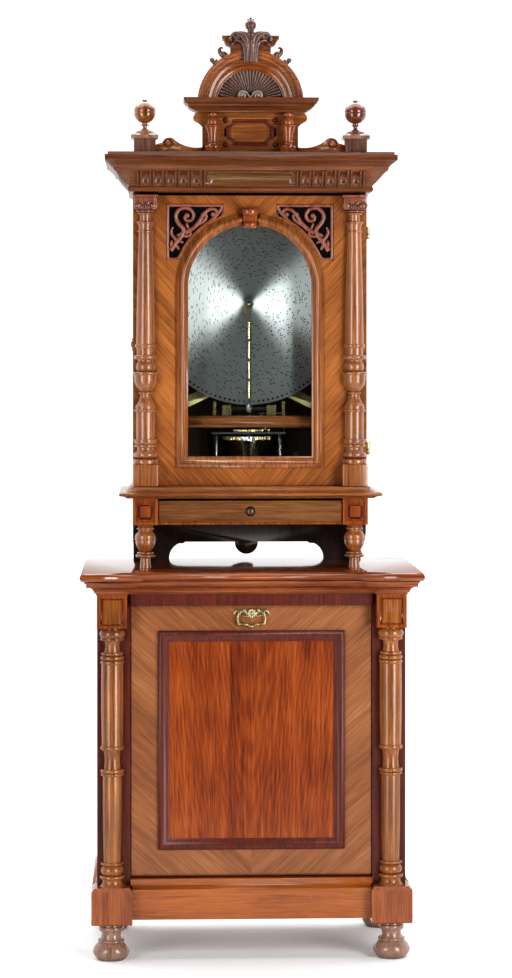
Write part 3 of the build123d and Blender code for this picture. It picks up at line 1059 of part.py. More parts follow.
def pressure_bar():
    """The hinged bar in front of the disc, its four rollers, its bearings and its latch."""
    low = Z_BAR_PIVOT - 8
    half = BAR_HALF_WIDTH
    y0, y1 = BAR_FRONT_Y, BAR_FRONT_Y + BAR_THICKNESS
    bar = block(-half, half, y0, y1, low, Z_DISC - BAR_RING_RADIUS + 2)
    bar = bar + rod_y(BAR_RING_RADIUS, 0, Z_DISC, y0, y1)
    bar = bar + rod_x(8, BAR_Y, Z_BAR_PIVOT, -half, half)
    bar = bar - rod_y(SPINDLE_RADIUS + 3, 0, Z_DISC, y0, y1)
    bar = bar + rod_x(BAR_SHAFT_RADIUS, BAR_Y, Z_BAR_PIVOT, -BAR_BEARING_X - 10, BAR_BEARING_X + 10)
    axle_low = Z_ROLLERS - 1
    axle_high = Z_ROLLERS + (ROLLERS - 1) * ROLLER_PITCH + ROLLER_LENGTH + 1
    bar = bar - rod(ROLLER_AXLE_RADIUS, 0, BAR_Y, axle_low, axle_high)
    rollers = []
    for k in range(ROLLERS):
        z = Z_ROLLERS + k * ROLLER_PITCH
        bar = bar - block(-ROLLER_RADIUS - 0.8, ROLLER_RADIUS + 0.8, y0, y1, z - 1, z + ROLLER_LENGTH + 1)
        bore = rod(ROLLER_AXLE_RADIUS + RUNNING_FIT, 0, BAR_Y, z, z + ROLLER_LENGTH)
        rollers.append(rod(ROLLER_RADIUS, 0, BAR_Y, z, z + ROLLER_LENGTH) - bore)
    save("pressure_rollers", rollers)
    axle = rod(ROLLER_AXLE_RADIUS, 0, BAR_Y, axle_low, axle_high)

    bearings = []
    for s in SIDES:
        x = s * BAR_BEARING_X
        bearing = block(x - BAR_BEARING_WIDTH / 2, x + BAR_BEARING_WIDTH / 2, BAR_Y - 12, BAR_Y + 10,
                        Z_RAIL_TOP, Z_BAR_PIVOT + BAR_BEARING_CAP)
        bearing = bearing - rod_x(BAR_SHAFT_RADIUS + RUNNING_FIT, BAR_Y, Z_BAR_PIVOT, x - 20, x + 20)
        x = s * (BAR_BEARING_X + 30)
        post = block(x - 3.5, x + 3.5, BAR_Y - 8, BAR_Y + 3, Z_RAIL_TOP, Z_BAR_PIVOT + 18)
        bearings += [bearing, post]
    save("bar_bearings", bearings)

    pivot_x, pivot_z = -BAR_HALF_WIDTH + 2.5, Z_DISC - 27
    lever = [(pivot_x - 5, pivot_z - 4), (pivot_x + 4, pivot_z - 4), (pivot_x + 4, pivot_z + 4),
             (pivot_x - 3, pivot_z + 16, "arc"), (-4, Z_DISC - 5.5), (-10, Z_DISC - 1), (-18, Z_DISC - 16, "arc"),
             (pivot_x - 5, pivot_z + 2)]
    lever = prism_y(lever, y0 - 2 - CLEARANCE, y0 - CLEARANCE)
    bore = rod_y(1.6 + RUNNING_FIT, pivot_x, pivot_z, y0 - 3, y0)
    save("bar_latch", lever - bore)
    screw = rod_y(1.6, pivot_x, pivot_z, y0 - 2.6, y0) + rod_y(3, pivot_x, pivot_z, y0 - 4, y0 - 2.6)
    save("pressure_bar", bar, axle, screw)


def movement_rail():
    """The moulded rail across the case under the disc, which carries the pressure bar's bearings."""
    z1 = Z_RAIL_TOP
    z0 = z1 - RAIL_HEIGHT
    y0 = RAIL_FRONT_Y
    y1 = y0 + RAIL_DEPTH
    points = [(y0 + 6, z0), (y0 + 4, z0 + 6), (y0, z0 + 8), (y0, z1 - 8), (y0 + 3, z1 - 3, "arc"), (y0 + 8, z1),
              (y1, z1), (y1, z0)]
    save("movement_rail", prism_x(points, -CASE_INNER, CASE_INNER))


def spring_motor():
    """The spring barrel, the wheels it drives and the frame that holds them."""
    y0, y1 = SPROCKET_Y - 14, BARREL_Y + MOTOR_POST_SPACING + 12
    half = MOTOR_POST_X + 12
    plate_t = MOTOR_PLATE_THICKNESS
    bores = rod(ARBOR_RADIUS + RUNNING_FIT, 0, SPROCKET_Y, Z_CASE, Z_COCK)
    bores = bores + rod(ARBOR_RADIUS + RUNNING_FIT, 0, BARREL_Y, Z_CASE, Z_COCK)
    fine = rod(FINE_ARBOR_RADIUS + RUNNING_FIT, TRAIN_X, TRAIN_Y, Z_CASE + 20, Z_COCK + 10)
    fine = fine + rod(FINE_ARBOR_RADIUS + RUNNING_FIT, FAN_X, FAN_Y, Z_CASE + 20, Z_COCK + 10)
    low = block(-half, half, y0, y1, Z_MOTOR, Z_MOTOR + plate_t) - bores
    high = block(-half, half, y0, y1, Z_MOTOR_TOP, Z_MOTOR_TOP + plate_t) - bores - fine
    post_places = [(s * MOTOR_POST_X, BARREL_Y + t * MOTOR_POST_SPACING) for s in SIDES for t in SIDES]
    posts = [rod(MOTOR_POST_RADIUS, x, y, Z_MOTOR + plate_t, Z_MOTOR_TOP) for x, y in post_places]
    pads = [block(s * MOTOR_POST_X - 10, s * MOTOR_POST_X + 10, y0, y1, Z_CASE, Z_MOTOR) for s in SIDES]

    z_cock_post = Z_MOTOR_TOP + plate_t
    cock_x = FAN_X + 22
    back_y = TRAIN_Y + 28
    cock = block(TRAIN_X - 16, cock_x + 6, TRAIN_Y - 8, back_y + 6, Z_COCK, Z_COCK + 3) - fine
    for x, y in ((TRAIN_X - 10, back_y), (cock_x, TRAIN_Y)):
        cock = cock + block(x - 3, x + 3, y - 3, y + 3, z_cock_post, Z_COCK)
    save("motor_frame", low, high, posts, pads, cock)

    arbor_low = Z_MOTOR + CLEARANCE
    arbor = rod(ARBOR_RADIUS, 0, SPROCKET_Y, arbor_low, Z_SPROCKET + SPROCKET_THICKNESS / 2)
    body_radius = SPROCKET_RADIUS - SPROCKET_TOOTH_LENGTH + 1
    wheel = rod(body_radius, 0, SPROCKET_Y, Z_SPROCKET - SPROCKET_THICKNESS / 2, Z_SPROCKET + SPROCKET_THICKNESS / 2)
    tooth = loft([Plane.YZ.offset(body_radius - 1.5) * RegularPolygon(SPROCKET_TOOTH_RADIUS, 6),
                  Plane.YZ.offset(SPROCKET_RADIUS + SPROCKET_TOOTH_REACH)
                  * RegularPolygon(SPROCKET_TOOTH_TIP, 6)])
    for k in range(SPROCKET_TEETH):
        wheel = wheel + Pos(0, SPROCKET_Y, Z_SPROCKET) * Rot(0, 0, k * 360 / SPROCKET_TEETH - 90) * tooth
    pinion = Pos(0, SPROCKET_Y, Z_GREAT_WHEEL - 1) * gear(DRIVE_PINION_TEETH, DRIVE_MODULE,
                                                         90 + 180 / DRIVE_PINION_TEETH, DRIVE_WHEEL_THICKNESS + 2)
    keyway = rod(ARBOR_RADIUS, 0, SPROCKET_Y, Z_CASE, Z_SPROCKET)
    save("drive_sprocket", arbor + wheel, pinion - keyway)
    train = Pos(0, SPROCKET_Y, Z_TRAIN_WHEEL) * gear(TRAIN_WHEEL_TEETH, TRAIN_MODULE, TRAIN_ANGLE,
                                                     TRAIN_WHEEL_THICKNESS)
    save("train_wheel", train - keyway)

    barrel_arbor = rod(ARBOR_RADIUS, 0, BARREL_Y, arbor_low, Z_MOTOR_TOP + plate_t)
    drum = rod(BARREL_RADIUS, 0, BARREL_Y, Z_BARREL, Z_GREAT_WHEEL)
    drum = drum + rod(BARREL_RADIUS + 2.5, 0, BARREL_Y, Z_BARREL, Z_BARREL + 4)
    save("spring_barrel", drum + barrel_arbor)
    hole = rod(ARBOR_RADIUS, 0, BARREL_Y, Z_CASE, Z_SPROCKET)
    great = Pos(0, BARREL_Y, Z_GREAT_WHEEL) * gear(GREAT_WHEEL_TEETH, DRIVE_MODULE, -90, DRIVE_WHEEL_THICKNESS)
    save("great_wheel", great - hole)

    z_low = Z_MOTOR_TOP + CLEARANCE
    train_arbor = rod(FINE_ARBOR_RADIUS, TRAIN_X, TRAIN_Y, z_low, Z_COCK + 2)
    train_pinion = gear(TRAIN_PINION_TEETH, TRAIN_MODULE, TRAIN_ANGLE + 180 + 180 / TRAIN_PINION_TEETH,
                        TRAIN_WHEEL_THICKNESS + 2)
    fan_wheel = gear(FAN_WHEEL_TEETH, FAN_MODULE, TRAIN_ANGLE, FAN_WHEEL_THICKNESS)
    save("governor_wheel", train_arbor + Pos(TRAIN_X, TRAIN_Y, Z_TRAIN_WHEEL - 1) * train_pinion
         + Pos(TRAIN_X, TRAIN_Y, Z_FAN_WHEEL) * fan_wheel)
    fan_arbor = rod(FINE_ARBOR_RADIUS, FAN_X, FAN_Y, z_low, Z_COCK + 2)
    fan_pinion = gear(FAN_PINION_TEETH, FAN_MODULE, TRAIN_ANGLE + 180 + 180 / FAN_PINION_TEETH,
                      FAN_WHEEL_THICKNESS + 2)
    blades = block(FAN_X - FAN_RADIUS, FAN_X + FAN_RADIUS, FAN_Y - 0.6, FAN_Y + 0.6, Z_FAN, Z_FAN + FAN_HEIGHT)
    save("governor_fan", fan_arbor + blades + Pos(FAN_X, FAN_Y, Z_FAN_WHEEL - 1) * fan_pinion)


def winding_and_coins():
    """The winding arbor with its plate on the right side, and the coin plate and chute on the left."""
    inner = MOTOR_POST_X + 20
    arbor = rod_x(WINDING_ARBOR_RADIUS, BARREL_Y, Z_WINDING, inner, CASE_HALF - 8)
    square = Pos(CASE_HALF - 2, BARREL_Y, Z_WINDING) * Box(12, WINDING_SQUARE, WINDING_SQUARE)
    collar = rod_x(WINDING_ARBOR_RADIUS + 5, BARREL_Y, Z_WINDING, inner, inner + 10)
    save("winding_arbor", arbor + square + collar)
    plate = rod_x(26, BARREL_Y, Z_WINDING, CASE_HALF, CASE_HALF + 2)
    bush = rod_x(16, BARREL_Y, Z_WINDING, CASE_HALF - 20, CASE_HALF)
    bush_bore = rod_x(WINDING_ARBOR_RADIUS + RUNNING_FIT, BARREL_Y, Z_WINDING, CASE_HALF - 21, CASE_HALF - 8)
    recess = rod_x(10, BARREL_Y, Z_WINDING, CASE_HALF - 8, CASE_HALF + 3)
    winding_plate = plate + bush - bush_bore - recess
    stand = block(inner - 2, inner + 26, BARREL_Y - 14, BARREL_Y + 14, Z_CASE, Z_WINDING + 14)
    stand = stand - block(inner - 3, inner + 14, BARREL_Y - 15, BARREL_Y + 15, Z_CASE + 6, Z_WINDING + 15)
    stand = stand - rod_x(WINDING_ARBOR_RADIUS + RUNNING_FIT, BARREL_Y, Z_WINDING, inner - 3, inner + 30)

    y0, y1 = COIN_CHUTE_Y - COIN_CHUTE_DEPTH / 2, COIN_CHUTE_Y + COIN_CHUTE_DEPTH / 2
    x = -CASE_HALF
    cover = block(x - 3, x, y0 - 3, y1 + 3, Z_COIN_PLATE - 16, Z_COIN_PLATE + 16)
    cover = cover + block(x - 6, x - 3, y0, y1, Z_COIN_PLATE - 6, Z_COIN_PLATE + 7)
    cover = cover - block(x - 7, x, COIN_CHUTE_Y - 13, COIN_CHUTE_Y + 13, Z_COIN_PLATE - 1.5, Z_COIN_PLATE + 1.5)
    save("side_plates", winding_plate, cover, stand)
    t = COIN_CHUTE_THICKNESS
    top_x = -CASE_INNER
    foot_x = -COIN_CHUTE_FOOT_X
    chute = prism_y([(top_x, Z_COIN_PLATE + 8), (top_x, Z_COIN_PLATE - 24), (foot_x, Z_CASE), (foot_x + t, Z_CASE),
                     (top_x + t, Z_COIN_PLATE - 24), (top_x + t, Z_COIN_PLATE + 8)], y0, y1)
    wall = 1.2
    inside = prism_y([(top_x, Z_COIN_PLATE + 6), (top_x, Z_COIN_PLATE - 5), (top_x + wall, Z_COIN_PLATE - 24),
                      (foot_x + wall, Z_CASE), (foot_x + t - wall, Z_CASE), (top_x + t - wall, Z_COIN_PLATE - 24),
                      (top_x + t - wall, Z_COIN_PLATE + 6)], y0 + wall, y1 - wall)
    save("coin_chute", chute - inside)


os.makedirs("parts", exist_ok=True)
cabinet_carcase()
cabinet_top()
cabinet_front()
cabinet_columns()
cabinet_feet()
flap()
rack()
flap_handle()
case_feet()
case_base()
coin_drawer()
case_shell()
cornice()
door()
spandrel_fretwork()
door_columns()
door_hinges()
finials()
scroll_brackets()
pediment_board()
balusters()
pediment_cornice()
arch()
crest()
tune_disc()
bedplate()
star_wheels()
pressure_bar()
movement_rail()
spring_motor()
winding_and_coins()
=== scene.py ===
import json
import logging
import math
from dataclasses import dataclass, field
from enum import Enum
from typing import Any, Callable, Iterable, Optional, Sequence

import bmesh
import bpy
from mathutils import Matrix, Vector

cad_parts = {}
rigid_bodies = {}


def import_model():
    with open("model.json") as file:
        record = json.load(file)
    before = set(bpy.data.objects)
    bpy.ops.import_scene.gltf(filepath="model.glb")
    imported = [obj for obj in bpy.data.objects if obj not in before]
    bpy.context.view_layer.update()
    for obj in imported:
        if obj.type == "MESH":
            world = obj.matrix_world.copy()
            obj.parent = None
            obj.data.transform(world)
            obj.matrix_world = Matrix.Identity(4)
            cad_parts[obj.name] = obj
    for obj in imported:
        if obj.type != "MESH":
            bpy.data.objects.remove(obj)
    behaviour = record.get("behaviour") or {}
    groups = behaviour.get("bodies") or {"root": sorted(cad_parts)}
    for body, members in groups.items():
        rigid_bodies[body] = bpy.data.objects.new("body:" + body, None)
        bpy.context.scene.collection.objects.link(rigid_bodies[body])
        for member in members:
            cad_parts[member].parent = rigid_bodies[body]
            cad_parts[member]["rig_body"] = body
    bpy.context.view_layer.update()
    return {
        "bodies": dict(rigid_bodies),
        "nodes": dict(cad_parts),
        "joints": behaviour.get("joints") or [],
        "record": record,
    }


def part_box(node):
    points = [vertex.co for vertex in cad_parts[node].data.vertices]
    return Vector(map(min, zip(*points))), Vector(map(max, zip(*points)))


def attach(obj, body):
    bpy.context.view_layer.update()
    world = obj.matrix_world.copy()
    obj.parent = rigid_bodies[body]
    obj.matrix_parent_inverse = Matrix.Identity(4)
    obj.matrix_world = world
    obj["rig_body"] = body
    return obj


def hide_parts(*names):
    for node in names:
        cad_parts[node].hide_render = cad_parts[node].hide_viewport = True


log = logging.getLogger("music_box")
MM = 0.001
SIDES = ((-1, "left"), (1, "right"))
Colour = tuple[float, float, float]


# ---------------------------------------------------------------- shader sockets and graphs
class Value:
    """A number-valued output socket that can be used in sums."""

    def __init__(self, graph: "Graph", socket: bpy.types.NodeSocket) -> None:
        """Keeps the graph that the socket belongs to."""
        self.graph = graph
        self.socket = socket

    def _math(self, operation: str, *others: Any) -> "Value":
        """Adds a Math node for an operation on this value and others.

        Args:
            operation: the Math node's operation.
            others: further values or numbers.

        Returns:
            The node's result.
        """
        return self.graph.maths(operation, self, *others)

    def __add__(self, other: Any) -> "Value":
        """Sum."""
        return self._math("ADD", other)

    __radd__ = __add__

    def __sub__(self, other: Any) -> "Value":
        """Difference."""
        return self._math("SUBTRACT", other)

    def __rsub__(self, other: Any) -> "Value":
        """Difference the other way round."""
        return self.graph.maths("SUBTRACT", other, self)

    def __mul__(self, other: Any) -> "Value":
        """Product."""
        return self._math("MULTIPLY", other)

    __rmul__ = __mul__

    def __truediv__(self, other: Any) -> "Value":
        """Quotient."""
        return self._math("DIVIDE", other)

    def __pow__(self, other: Any) -> "Value":
        """Power."""
        return self._math("POWER", other)

    def __gt__(self, other: Any) -> "Value":
        """1 where this value is the greater one."""
        return self._math("GREATER_THAN", other)

    def __lt__(self, other: Any) -> "Value":
        """1 where this value is the smaller one."""
        return self._math("LESS_THAN", other)

    def __abs__(self) -> "Value":
        """Size without sign."""
        return self._math("ABSOLUTE")

    def floor(self) -> "Value":
        """Whole part."""
        return self._math("FLOOR")

    def sine(self) -> "Value":
        """Sine."""
        return self._math("SINE")

    def low(self, other: Any) -> "Value":
        """The smaller of two values."""
        return self._math("MINIMUM", other)

    def ramp(self, start: float, end: float) -> "Value":
        """A smooth step from 0 at start to 1 at end.

        Args:
            start: where the step begins.
            end: where it ends.

        Returns:
            The stepped value.
        """
        made = self.graph.node("ShaderNodeMapRange", {"interpolation_type": "SMOOTHSTEP"},
                               {0: self, 1: start, 2: end, 3: 0.0, 4: 1.0})
        return Value(self.graph, made.outputs[0])


class Graph:
    """A material's node graph."""

    def __init__(self, name: str, tree: Optional[bpy.types.NodeTree] = None) -> None:
        """Starts an empty node material, or a world from its own tree, with an output."""
        if tree is None:
            self.material = bpy.data.materials.new(name)
            self.material.use_nodes = True
            tree = self.material.node_tree
            kind = "ShaderNodeOutputMaterial"
        else:
            kind = "ShaderNodeOutputWorld"
        self.tree = tree
        self.tree.nodes.clear()
        self.output = self.tree.nodes.new(kind)

    def node(self, kind: str, settings: Optional[dict[str, Any]] = None,
             inputs: Optional[dict[Any, Any]] = None) -> bpy.types.Node:
        """Adds one node.

        Args:
            kind: the node's type.
            settings: properties set before the inputs; "stops" gives a ramp's colours.
            inputs: values or sockets by the input's name or place.

        Returns:
            The node.
        """
        made = self.tree.nodes.new(kind)
        for key, value in (settings or {}).items():
            if key == "stops":
                ramp = made.color_ramp
                while len(ramp.elements) < len(value):
                    ramp.elements.new(0.5)
                for element, (place, colour) in zip(ramp.elements, value):
                    element.position = place
                    element.color = (*colour, 1.0)
            else:
                setattr(made, key, value)
        for key, value in (inputs or {}).items():
            self.feed(made.inputs[key], value)
        return made

    def feed(self, socket: bpy.types.NodeSocket, value: Any) -> None:
        """Sets or links an input socket."""
        if isinstance(value, Value):
            value = value.socket
        if isinstance(value, bpy.types.NodeSocket):
            self.tree.links.new(value, socket)
        elif isinstance(value, tuple) and len(value) == 3 and socket.type == "RGBA":
            socket.default_value = (*value, 1.0)
        else:
            socket.default_value = value

    def maths(self, operation: str, *values: Any) -> Value:
        """Adds a Math node."""
        made = self.node("ShaderNodeMath", {"operation": operation}, dict(enumerate(values)))
        return Value(self, made.outputs[0])

    def place(self, centre: Sequence[float] = (0, 0, 0),
              turn: Sequence[float] = (0, 0, 0)) -> bpy.types.NodeSocket:
        """Object coordinates, moved so that the centre is at 0, then turned.

        Args:
            centre: the point that becomes the pattern's origin.
            turn: the pattern's turn about each axis, in degrees.

        Returns:
            The vector socket.
        """
        coords = self.node("ShaderNodeTexCoord").outputs["Object"]
        moved = self.node("ShaderNodeVectorMath", {"operation": "SUBTRACT"}, {0: coords, 1: tuple(centre)})
        return self.node("ShaderNodeMapping", {"vector_type": "POINT"},
                         {0: moved.outputs[0], 2: tuple(math.radians(a) for a in turn)}).outputs[0]

    def stretch(self, vector: bpy.types.NodeSocket, scale: tuple[float, ...]) -> bpy.types.NodeSocket:
        """The vector with each axis scaled by its own factor."""
        return self.node("ShaderNodeVectorMath", {"operation": "MULTIPLY"}, {0: vector, 1: scale}).outputs[0]

    def axes(self, vector: bpy.types.NodeSocket) -> tuple[Value, Value, Value]:
        """Splits a vector into its three values."""
        made = self.node("ShaderNodeSeparateXYZ", None, {0: vector})
        return tuple(Value(self, made.outputs[k]) for k in range(3))

    def vector(self, x: Any, y: Any, z: Any) -> bpy.types.NodeSocket:
        """Joins three values into a vector."""
        return self.node("ShaderNodeCombineXYZ", None, {0: x, 1: y, 2: z}).outputs[0]

    def noise(self, vector: bpy.types.NodeSocket, scale: float, detail: float = 3.0, rough: float = 0.55,
              warp: float = 0.0) -> Value:
        """Fractal noise.

        Args:
            vector: where the noise is read.
            scale: noise cells per metre.
            detail: octaves.
            rough: how strong the fine octaves are.
            warp: distortion.

        Returns:
            The noise, around 0.5.
        """
        made = self.node("ShaderNodeTexNoise", None, {"Vector": vector, "Scale": scale, "Detail": detail,
                                                      "Roughness": rough, "Distortion": warp})
        return Value(self, made.outputs[0])

    def scatter(self, vector: bpy.types.NodeSocket) -> Value:
        """White noise: one random value for each vector."""
        return Value(self, self.node("ShaderNodeTexWhiteNoise", None, {"Vector": vector}).outputs[0])

    def mix(self, share: Any, first: Any, second: Any) -> bpy.types.NodeSocket:
        """Mixes two colours by a share."""
        made = self.node("ShaderNodeMix", {"data_type": "RGBA"})
        self.feed(made.inputs[0], share)
        self.feed(made.inputs[6], first)
        self.feed(made.inputs[7], second)
        return made.outputs[2]

    def ramp(self, value: Any, stops: Sequence[tuple[float, Colour]]) -> bpy.types.NodeSocket:
        """A colour ramp over a value."""
        return self.node("ShaderNodeValToRGB", {"stops": stops}, {0: value}).outputs[0]

    def bump(self, height: Any, strength: float, distance: float, edge: float = 0.0) -> bpy.types.NodeSocket:
        """A bump normal over edges that are rounded by a radius.

        Args:
            height: the height value.
            strength: how strong the bump is.
            distance: the height of one unit, in metres.
            edge: radius of the rounded edges, in metres, or 0 for sharp ones.

        Returns:
            The normal socket.
        """
        inputs: dict[Any, Any] = {"Strength": strength, "Distance": distance, "Height": height}
        if edge:
            inputs["Normal"] = self.node("ShaderNodeBevel", {"samples": 4}, {0: edge}).outputs[0]
        return self.node("ShaderNodeBump", None, inputs).outputs[0]

    def shade_hollows(self, colour: Any, dark: Colour, strength: float, reach: float,
               start: float) -> bpy.types.NodeSocket:
        """Darkens a colour in the hollows that ambient occlusion finds: painted shade.

        Args:
            colour: the clean colour.
            dark: the colour of the painted shade.
            strength: how much of it the deepest hollows hold.
            reach: how wide a hollow may be, in metres.
            start: the share of occlusion at which the painted shade begins.

        Returns:
            The colour socket.
        """
        # Ambient occlusion darkens the colour in hollows: painted shade.
        occlusion = self.node("ShaderNodeAmbientOcclusion", {"samples": 6}, {"Distance": reach})
        shade_share = (1.0 - Value(self, occlusion.outputs["AO"])).ramp(start, 0.95) * strength
        return self.mix(shade_share, colour, dark)

    def layered(self, share: Any, first: bpy.types.Node, second: bpy.types.Node) -> bpy.types.Material:
        """Mixes two shaders by a share and returns the finished material."""
        both = self.node("ShaderNodeMixShader", None, {0: share})
        self.tree.links.new(first.outputs[0], both.inputs[1])
        self.tree.links.new(second.outputs[0], both.inputs[2])
        self.tree.links.new(both.outputs[0], self.output.inputs[0])
        return self.material

    def surface(self, **inputs: Any) -> bpy.types.Material:
        """Adds the Principled shader with these inputs and returns the finished material."""
        names = {key.replace("_", " ").title().replace("Ior", "IOR"): value for key, value in inputs.items()}
        shader = self.node("ShaderNodeBsdfPrincipled", None, names)
        self.tree.links.new(shader.outputs[0], self.output.inputs[0])
        return self.material


# ---------------------------------------------------------------- finishes
class Grain(Enum):
    """Which way the grain of a piece of wood runs."""

    UPRIGHT = "z"
    ACROSS = "x"
    CHEVRON = "chevron"


@dataclass(frozen=True)
class Wood:
    """French-polished wood."""

    name: str
    light: Colour
    middle: Colour
    dark: Colour
    grain: Grain = Grain.UPRIGHT
    figure: float = 0.5
    gloss: float = 0.22
    coat: float = 0.5
    edge: float = 0.0008
    lean: float = 45.0
    centre: tuple[float, float, float] = (0.0, 0.0, 0.0)
    # How strong the painted shade in hollows is.
    hollow_shade: float = 0.5
    cathedral: float = 0.0

    def along(self, graph: Graph) -> bpy.types.NodeSocket:
        """Coordinates whose first axis runs across the grain and whose third runs along it."""
        if self.grain is Grain.CHEVRON:
            x, y, z = graph.axes(graph.place(self.centre))
            angle = math.radians(self.lean)
            side = abs(x)
            across = side * math.cos(angle) + z * math.sin(angle)
            lengthways = z * math.cos(angle) - side * math.sin(angle)
            return graph.vector(across, y + x.graph.maths("SIGN", x) * 0.37, lengthways)
        return graph.place(self.centre, (0, 90, 0) if self.grain is Grain.ACROSS else (0, 0, 0))

    def build(self) -> bpy.types.Material:
        """Builds the material.

        Returns:
            The wood's material.
        """
        g = Graph(self.name)
        vector = self.along(g)
        stretched = g.stretch(vector, (1.0, 1.0, 0.035))
        broad = g.noise(stretched, 15.0, 3.0, 0.55, 1.2) - 0.5
        streaks = g.noise(stretched, 170.0, 3.0, 0.6, 0.6) - 0.5
        fine = g.noise(stretched, 480.0, 2.0, 0.6) - 0.5
        cloud = g.noise(vector, 6.0, 2.0, 0.5) - 0.5
        tone = broad * (1.1 * self.figure) + streaks * 1.1 + fine * 0.8 + cloud * (0.8 * self.figure) + 0.5
        if self.cathedral:
            x, _, z = g.axes(vector)
            wander = g.noise(stretched, 11.0, 2.0) * 0.07 + g.noise(vector, 9.0, 2.0) * 0.018
            ring = ((x * x + 0.0004) ** 0.5 - z * 0.13 + wander) * 640.0
            tone = tone + ring.sine() * self.cathedral
        colour = g.ramp(tone, [(0.08, self.dark), (0.5, self.middle), (0.92, self.light)])
        pores = (g.noise(stretched, 600.0, 1.0, 0.5) > 0.66) * 0.4
        colour = g.mix(pores, colour, self.dark)
        # Painted shade: the colour darkens where ambient occlusion finds hollows.
        if self.hollow_shade:
            shade_colour = tuple(c * 0.28 for c in self.dark)
            colour = g.shade_hollows(colour, shade_colour, self.hollow_shade, reach=0.014, start=0.25)
        rough = g.noise(vector, 30.0, 2.0) * 0.14 + (self.gloss - 0.05)
        normal = g.bump(streaks * 0.5 + fine * 0.5, 0.12, 0.0006, self.edge)
        return g.surface(base_color=colour, roughness=rough, normal=normal, coat_weight=self.coat,
                         coat_roughness=self.gloss * 0.55, specular_ior_level=0.3)


@dataclass(frozen=True)
class Metal:
    """A metal with patches of tarnish, and painted shade in its hollows."""

    name: str
    bright: Colour
    dull: Colour
    gloss: float = 0.28
    tarnish: float = 0.5
    # How strong the painted shade in hollows is.
    hollow_shade: float = 0.6
    edge: float = 0.0004

    def build(self) -> bpy.types.Material:
        """Builds the material.

        Returns:
            The metal's material.
        """
        g = Graph(self.name)
        vector = g.place()
        patches = g.noise(vector, 60.0, 4.0, 0.6)
        specks = g.noise(vector, 600.0, 2.0, 0.6)
        share = (patches * 0.7 + specks * 0.3).ramp(0.35, 0.7) * self.tarnish
        colour = g.mix(share, self.bright, self.dull)
        # Painted shade: the colour darkens where ambient occlusion finds hollows.
        shade_colour = tuple(c * 0.18 for c in self.dull)
        colour = g.shade_hollows(colour, shade_colour, self.hollow_shade, reach=0.006, start=0.3)
        rough = patches * 0.2 + (self.gloss - 0.08)
        normal = g.bump(specks, 0.1, 0.0003, self.edge)
        return g.surface(base_color=colour, metallic=1.0, roughness=rough, normal=normal)


@dataclass(frozen=True)
class DiscSteel:
    """The tune disc: steel brushed in rings, with rows of small punched slits."""

    name: str
    centre: tuple[float, float, float]
    track_pitch: float = 0.0032
    slit_pitch: float = 0.0065
    inner: float = 0.045
    outer: float = 0.228

    def build(self) -> bpy.types.Material:
        """Builds the material.

        Returns:
            The disc's material.
        """
        g = Graph(self.name)
        x, _, z = g.axes(g.place(self.centre))
        radius = (x * x + z * z) ** 0.5
        angle = g.maths("ARCTAN2", z, x)
        track = (radius / self.track_pitch).floor()
        arc = angle * radius / self.slit_pitch + g.scatter(g.vector(track, 3.0, 0.0)) * 17.0
        cell = arc.floor()
        chance = g.scatter(g.vector(track, cell, 1.0))
        drift = g.noise(g.vector(x, 0.0, z), 14.0, 2.0)
        there = (chance > (0.93 - drift * 0.2)) * (radius > self.inner) * (radius < self.outer)
        across = abs(radius / self.track_pitch - track - 0.5) < 0.3
        length = abs(arc - cell - 0.5) < 0.3
        slit = there * across * length
        stain = g.noise(g.vector(x, 0.0, z), 9.0, 4.0, 0.6)
        colour = g.mix(stain.ramp(0.35, 0.75) * 0.4, (0.93, 0.96, 0.96), (0.62, 0.66, 0.66))
        colour = g.mix(slit, colour, (0.010, 0.012, 0.014))
        rough = stain * 0.10 + 0.40 + slit * 0.3
        brush = g.node("ShaderNodeTangent", {"direction_type": "RADIAL", "axis": "Y"}).outputs[0]
        return g.surface(base_color=colour, metallic=1.0 - slit * 0.8, roughness=rough, anisotropic=1.0,
                         anisotropic_rotation=0.25, tangent=brush, normal=g.bump(stain, 0.05, 0.001))


@dataclass(frozen=True)
class PaneGlass:
    """Thin clear window glass."""

    name: str
    tint: Colour = (0.97, 0.99, 0.985)

    def build(self) -> bpy.types.Material:
        """Builds the material: clear, with reflections that grow towards the edges of view.

        Returns:
            The glass material.
        """
        g = Graph(self.name)
        ripple = g.noise(g.place(), 6.0, 2.0)
        gloss = g.node("ShaderNodeBsdfPrincipled", None, {
            "Base Color": (0.9, 0.92, 0.92), "Roughness": 0.03, "Metallic": 1.0,
            "Normal": g.bump(ripple, 0.05, 0.002)})
        clear = g.node("ShaderNodeBsdfTransparent", None, {"Color": self.tint})
        facing = Value(g, g.node("ShaderNodeFresnel", None, {"IOR": 1.45}).outputs[0])
        return g.layered((facing * 0.8).low(0.6), clear, gloss)


@dataclass(frozen=True)
class Plain:
    """A plain painted or stained surface with slight unevenness."""

    name: str
    colour: Colour
    rough: float = 0.6
    vary: float = 0.25

    def build(self) -> bpy.types.Material:
        """Builds the material.

        Returns:
            The plain material.
        """
        g = Graph(self.name)
        spots = g.noise(g.place(), 25.0, 4.0)
        colour = g.mix(spots, tuple(c * (1 - self.vary) for c in self.colour),
                       tuple(min(1.0, c * (1 + self.vary)) for c in self.colour))
        rough = spots * 0.2 + (self.rough - 0.1)
        return g.surface(base_color=colour, roughness=rough, specular_ior_level=0.1,
                         normal=g.bump(spots, 0.1, 0.0005))


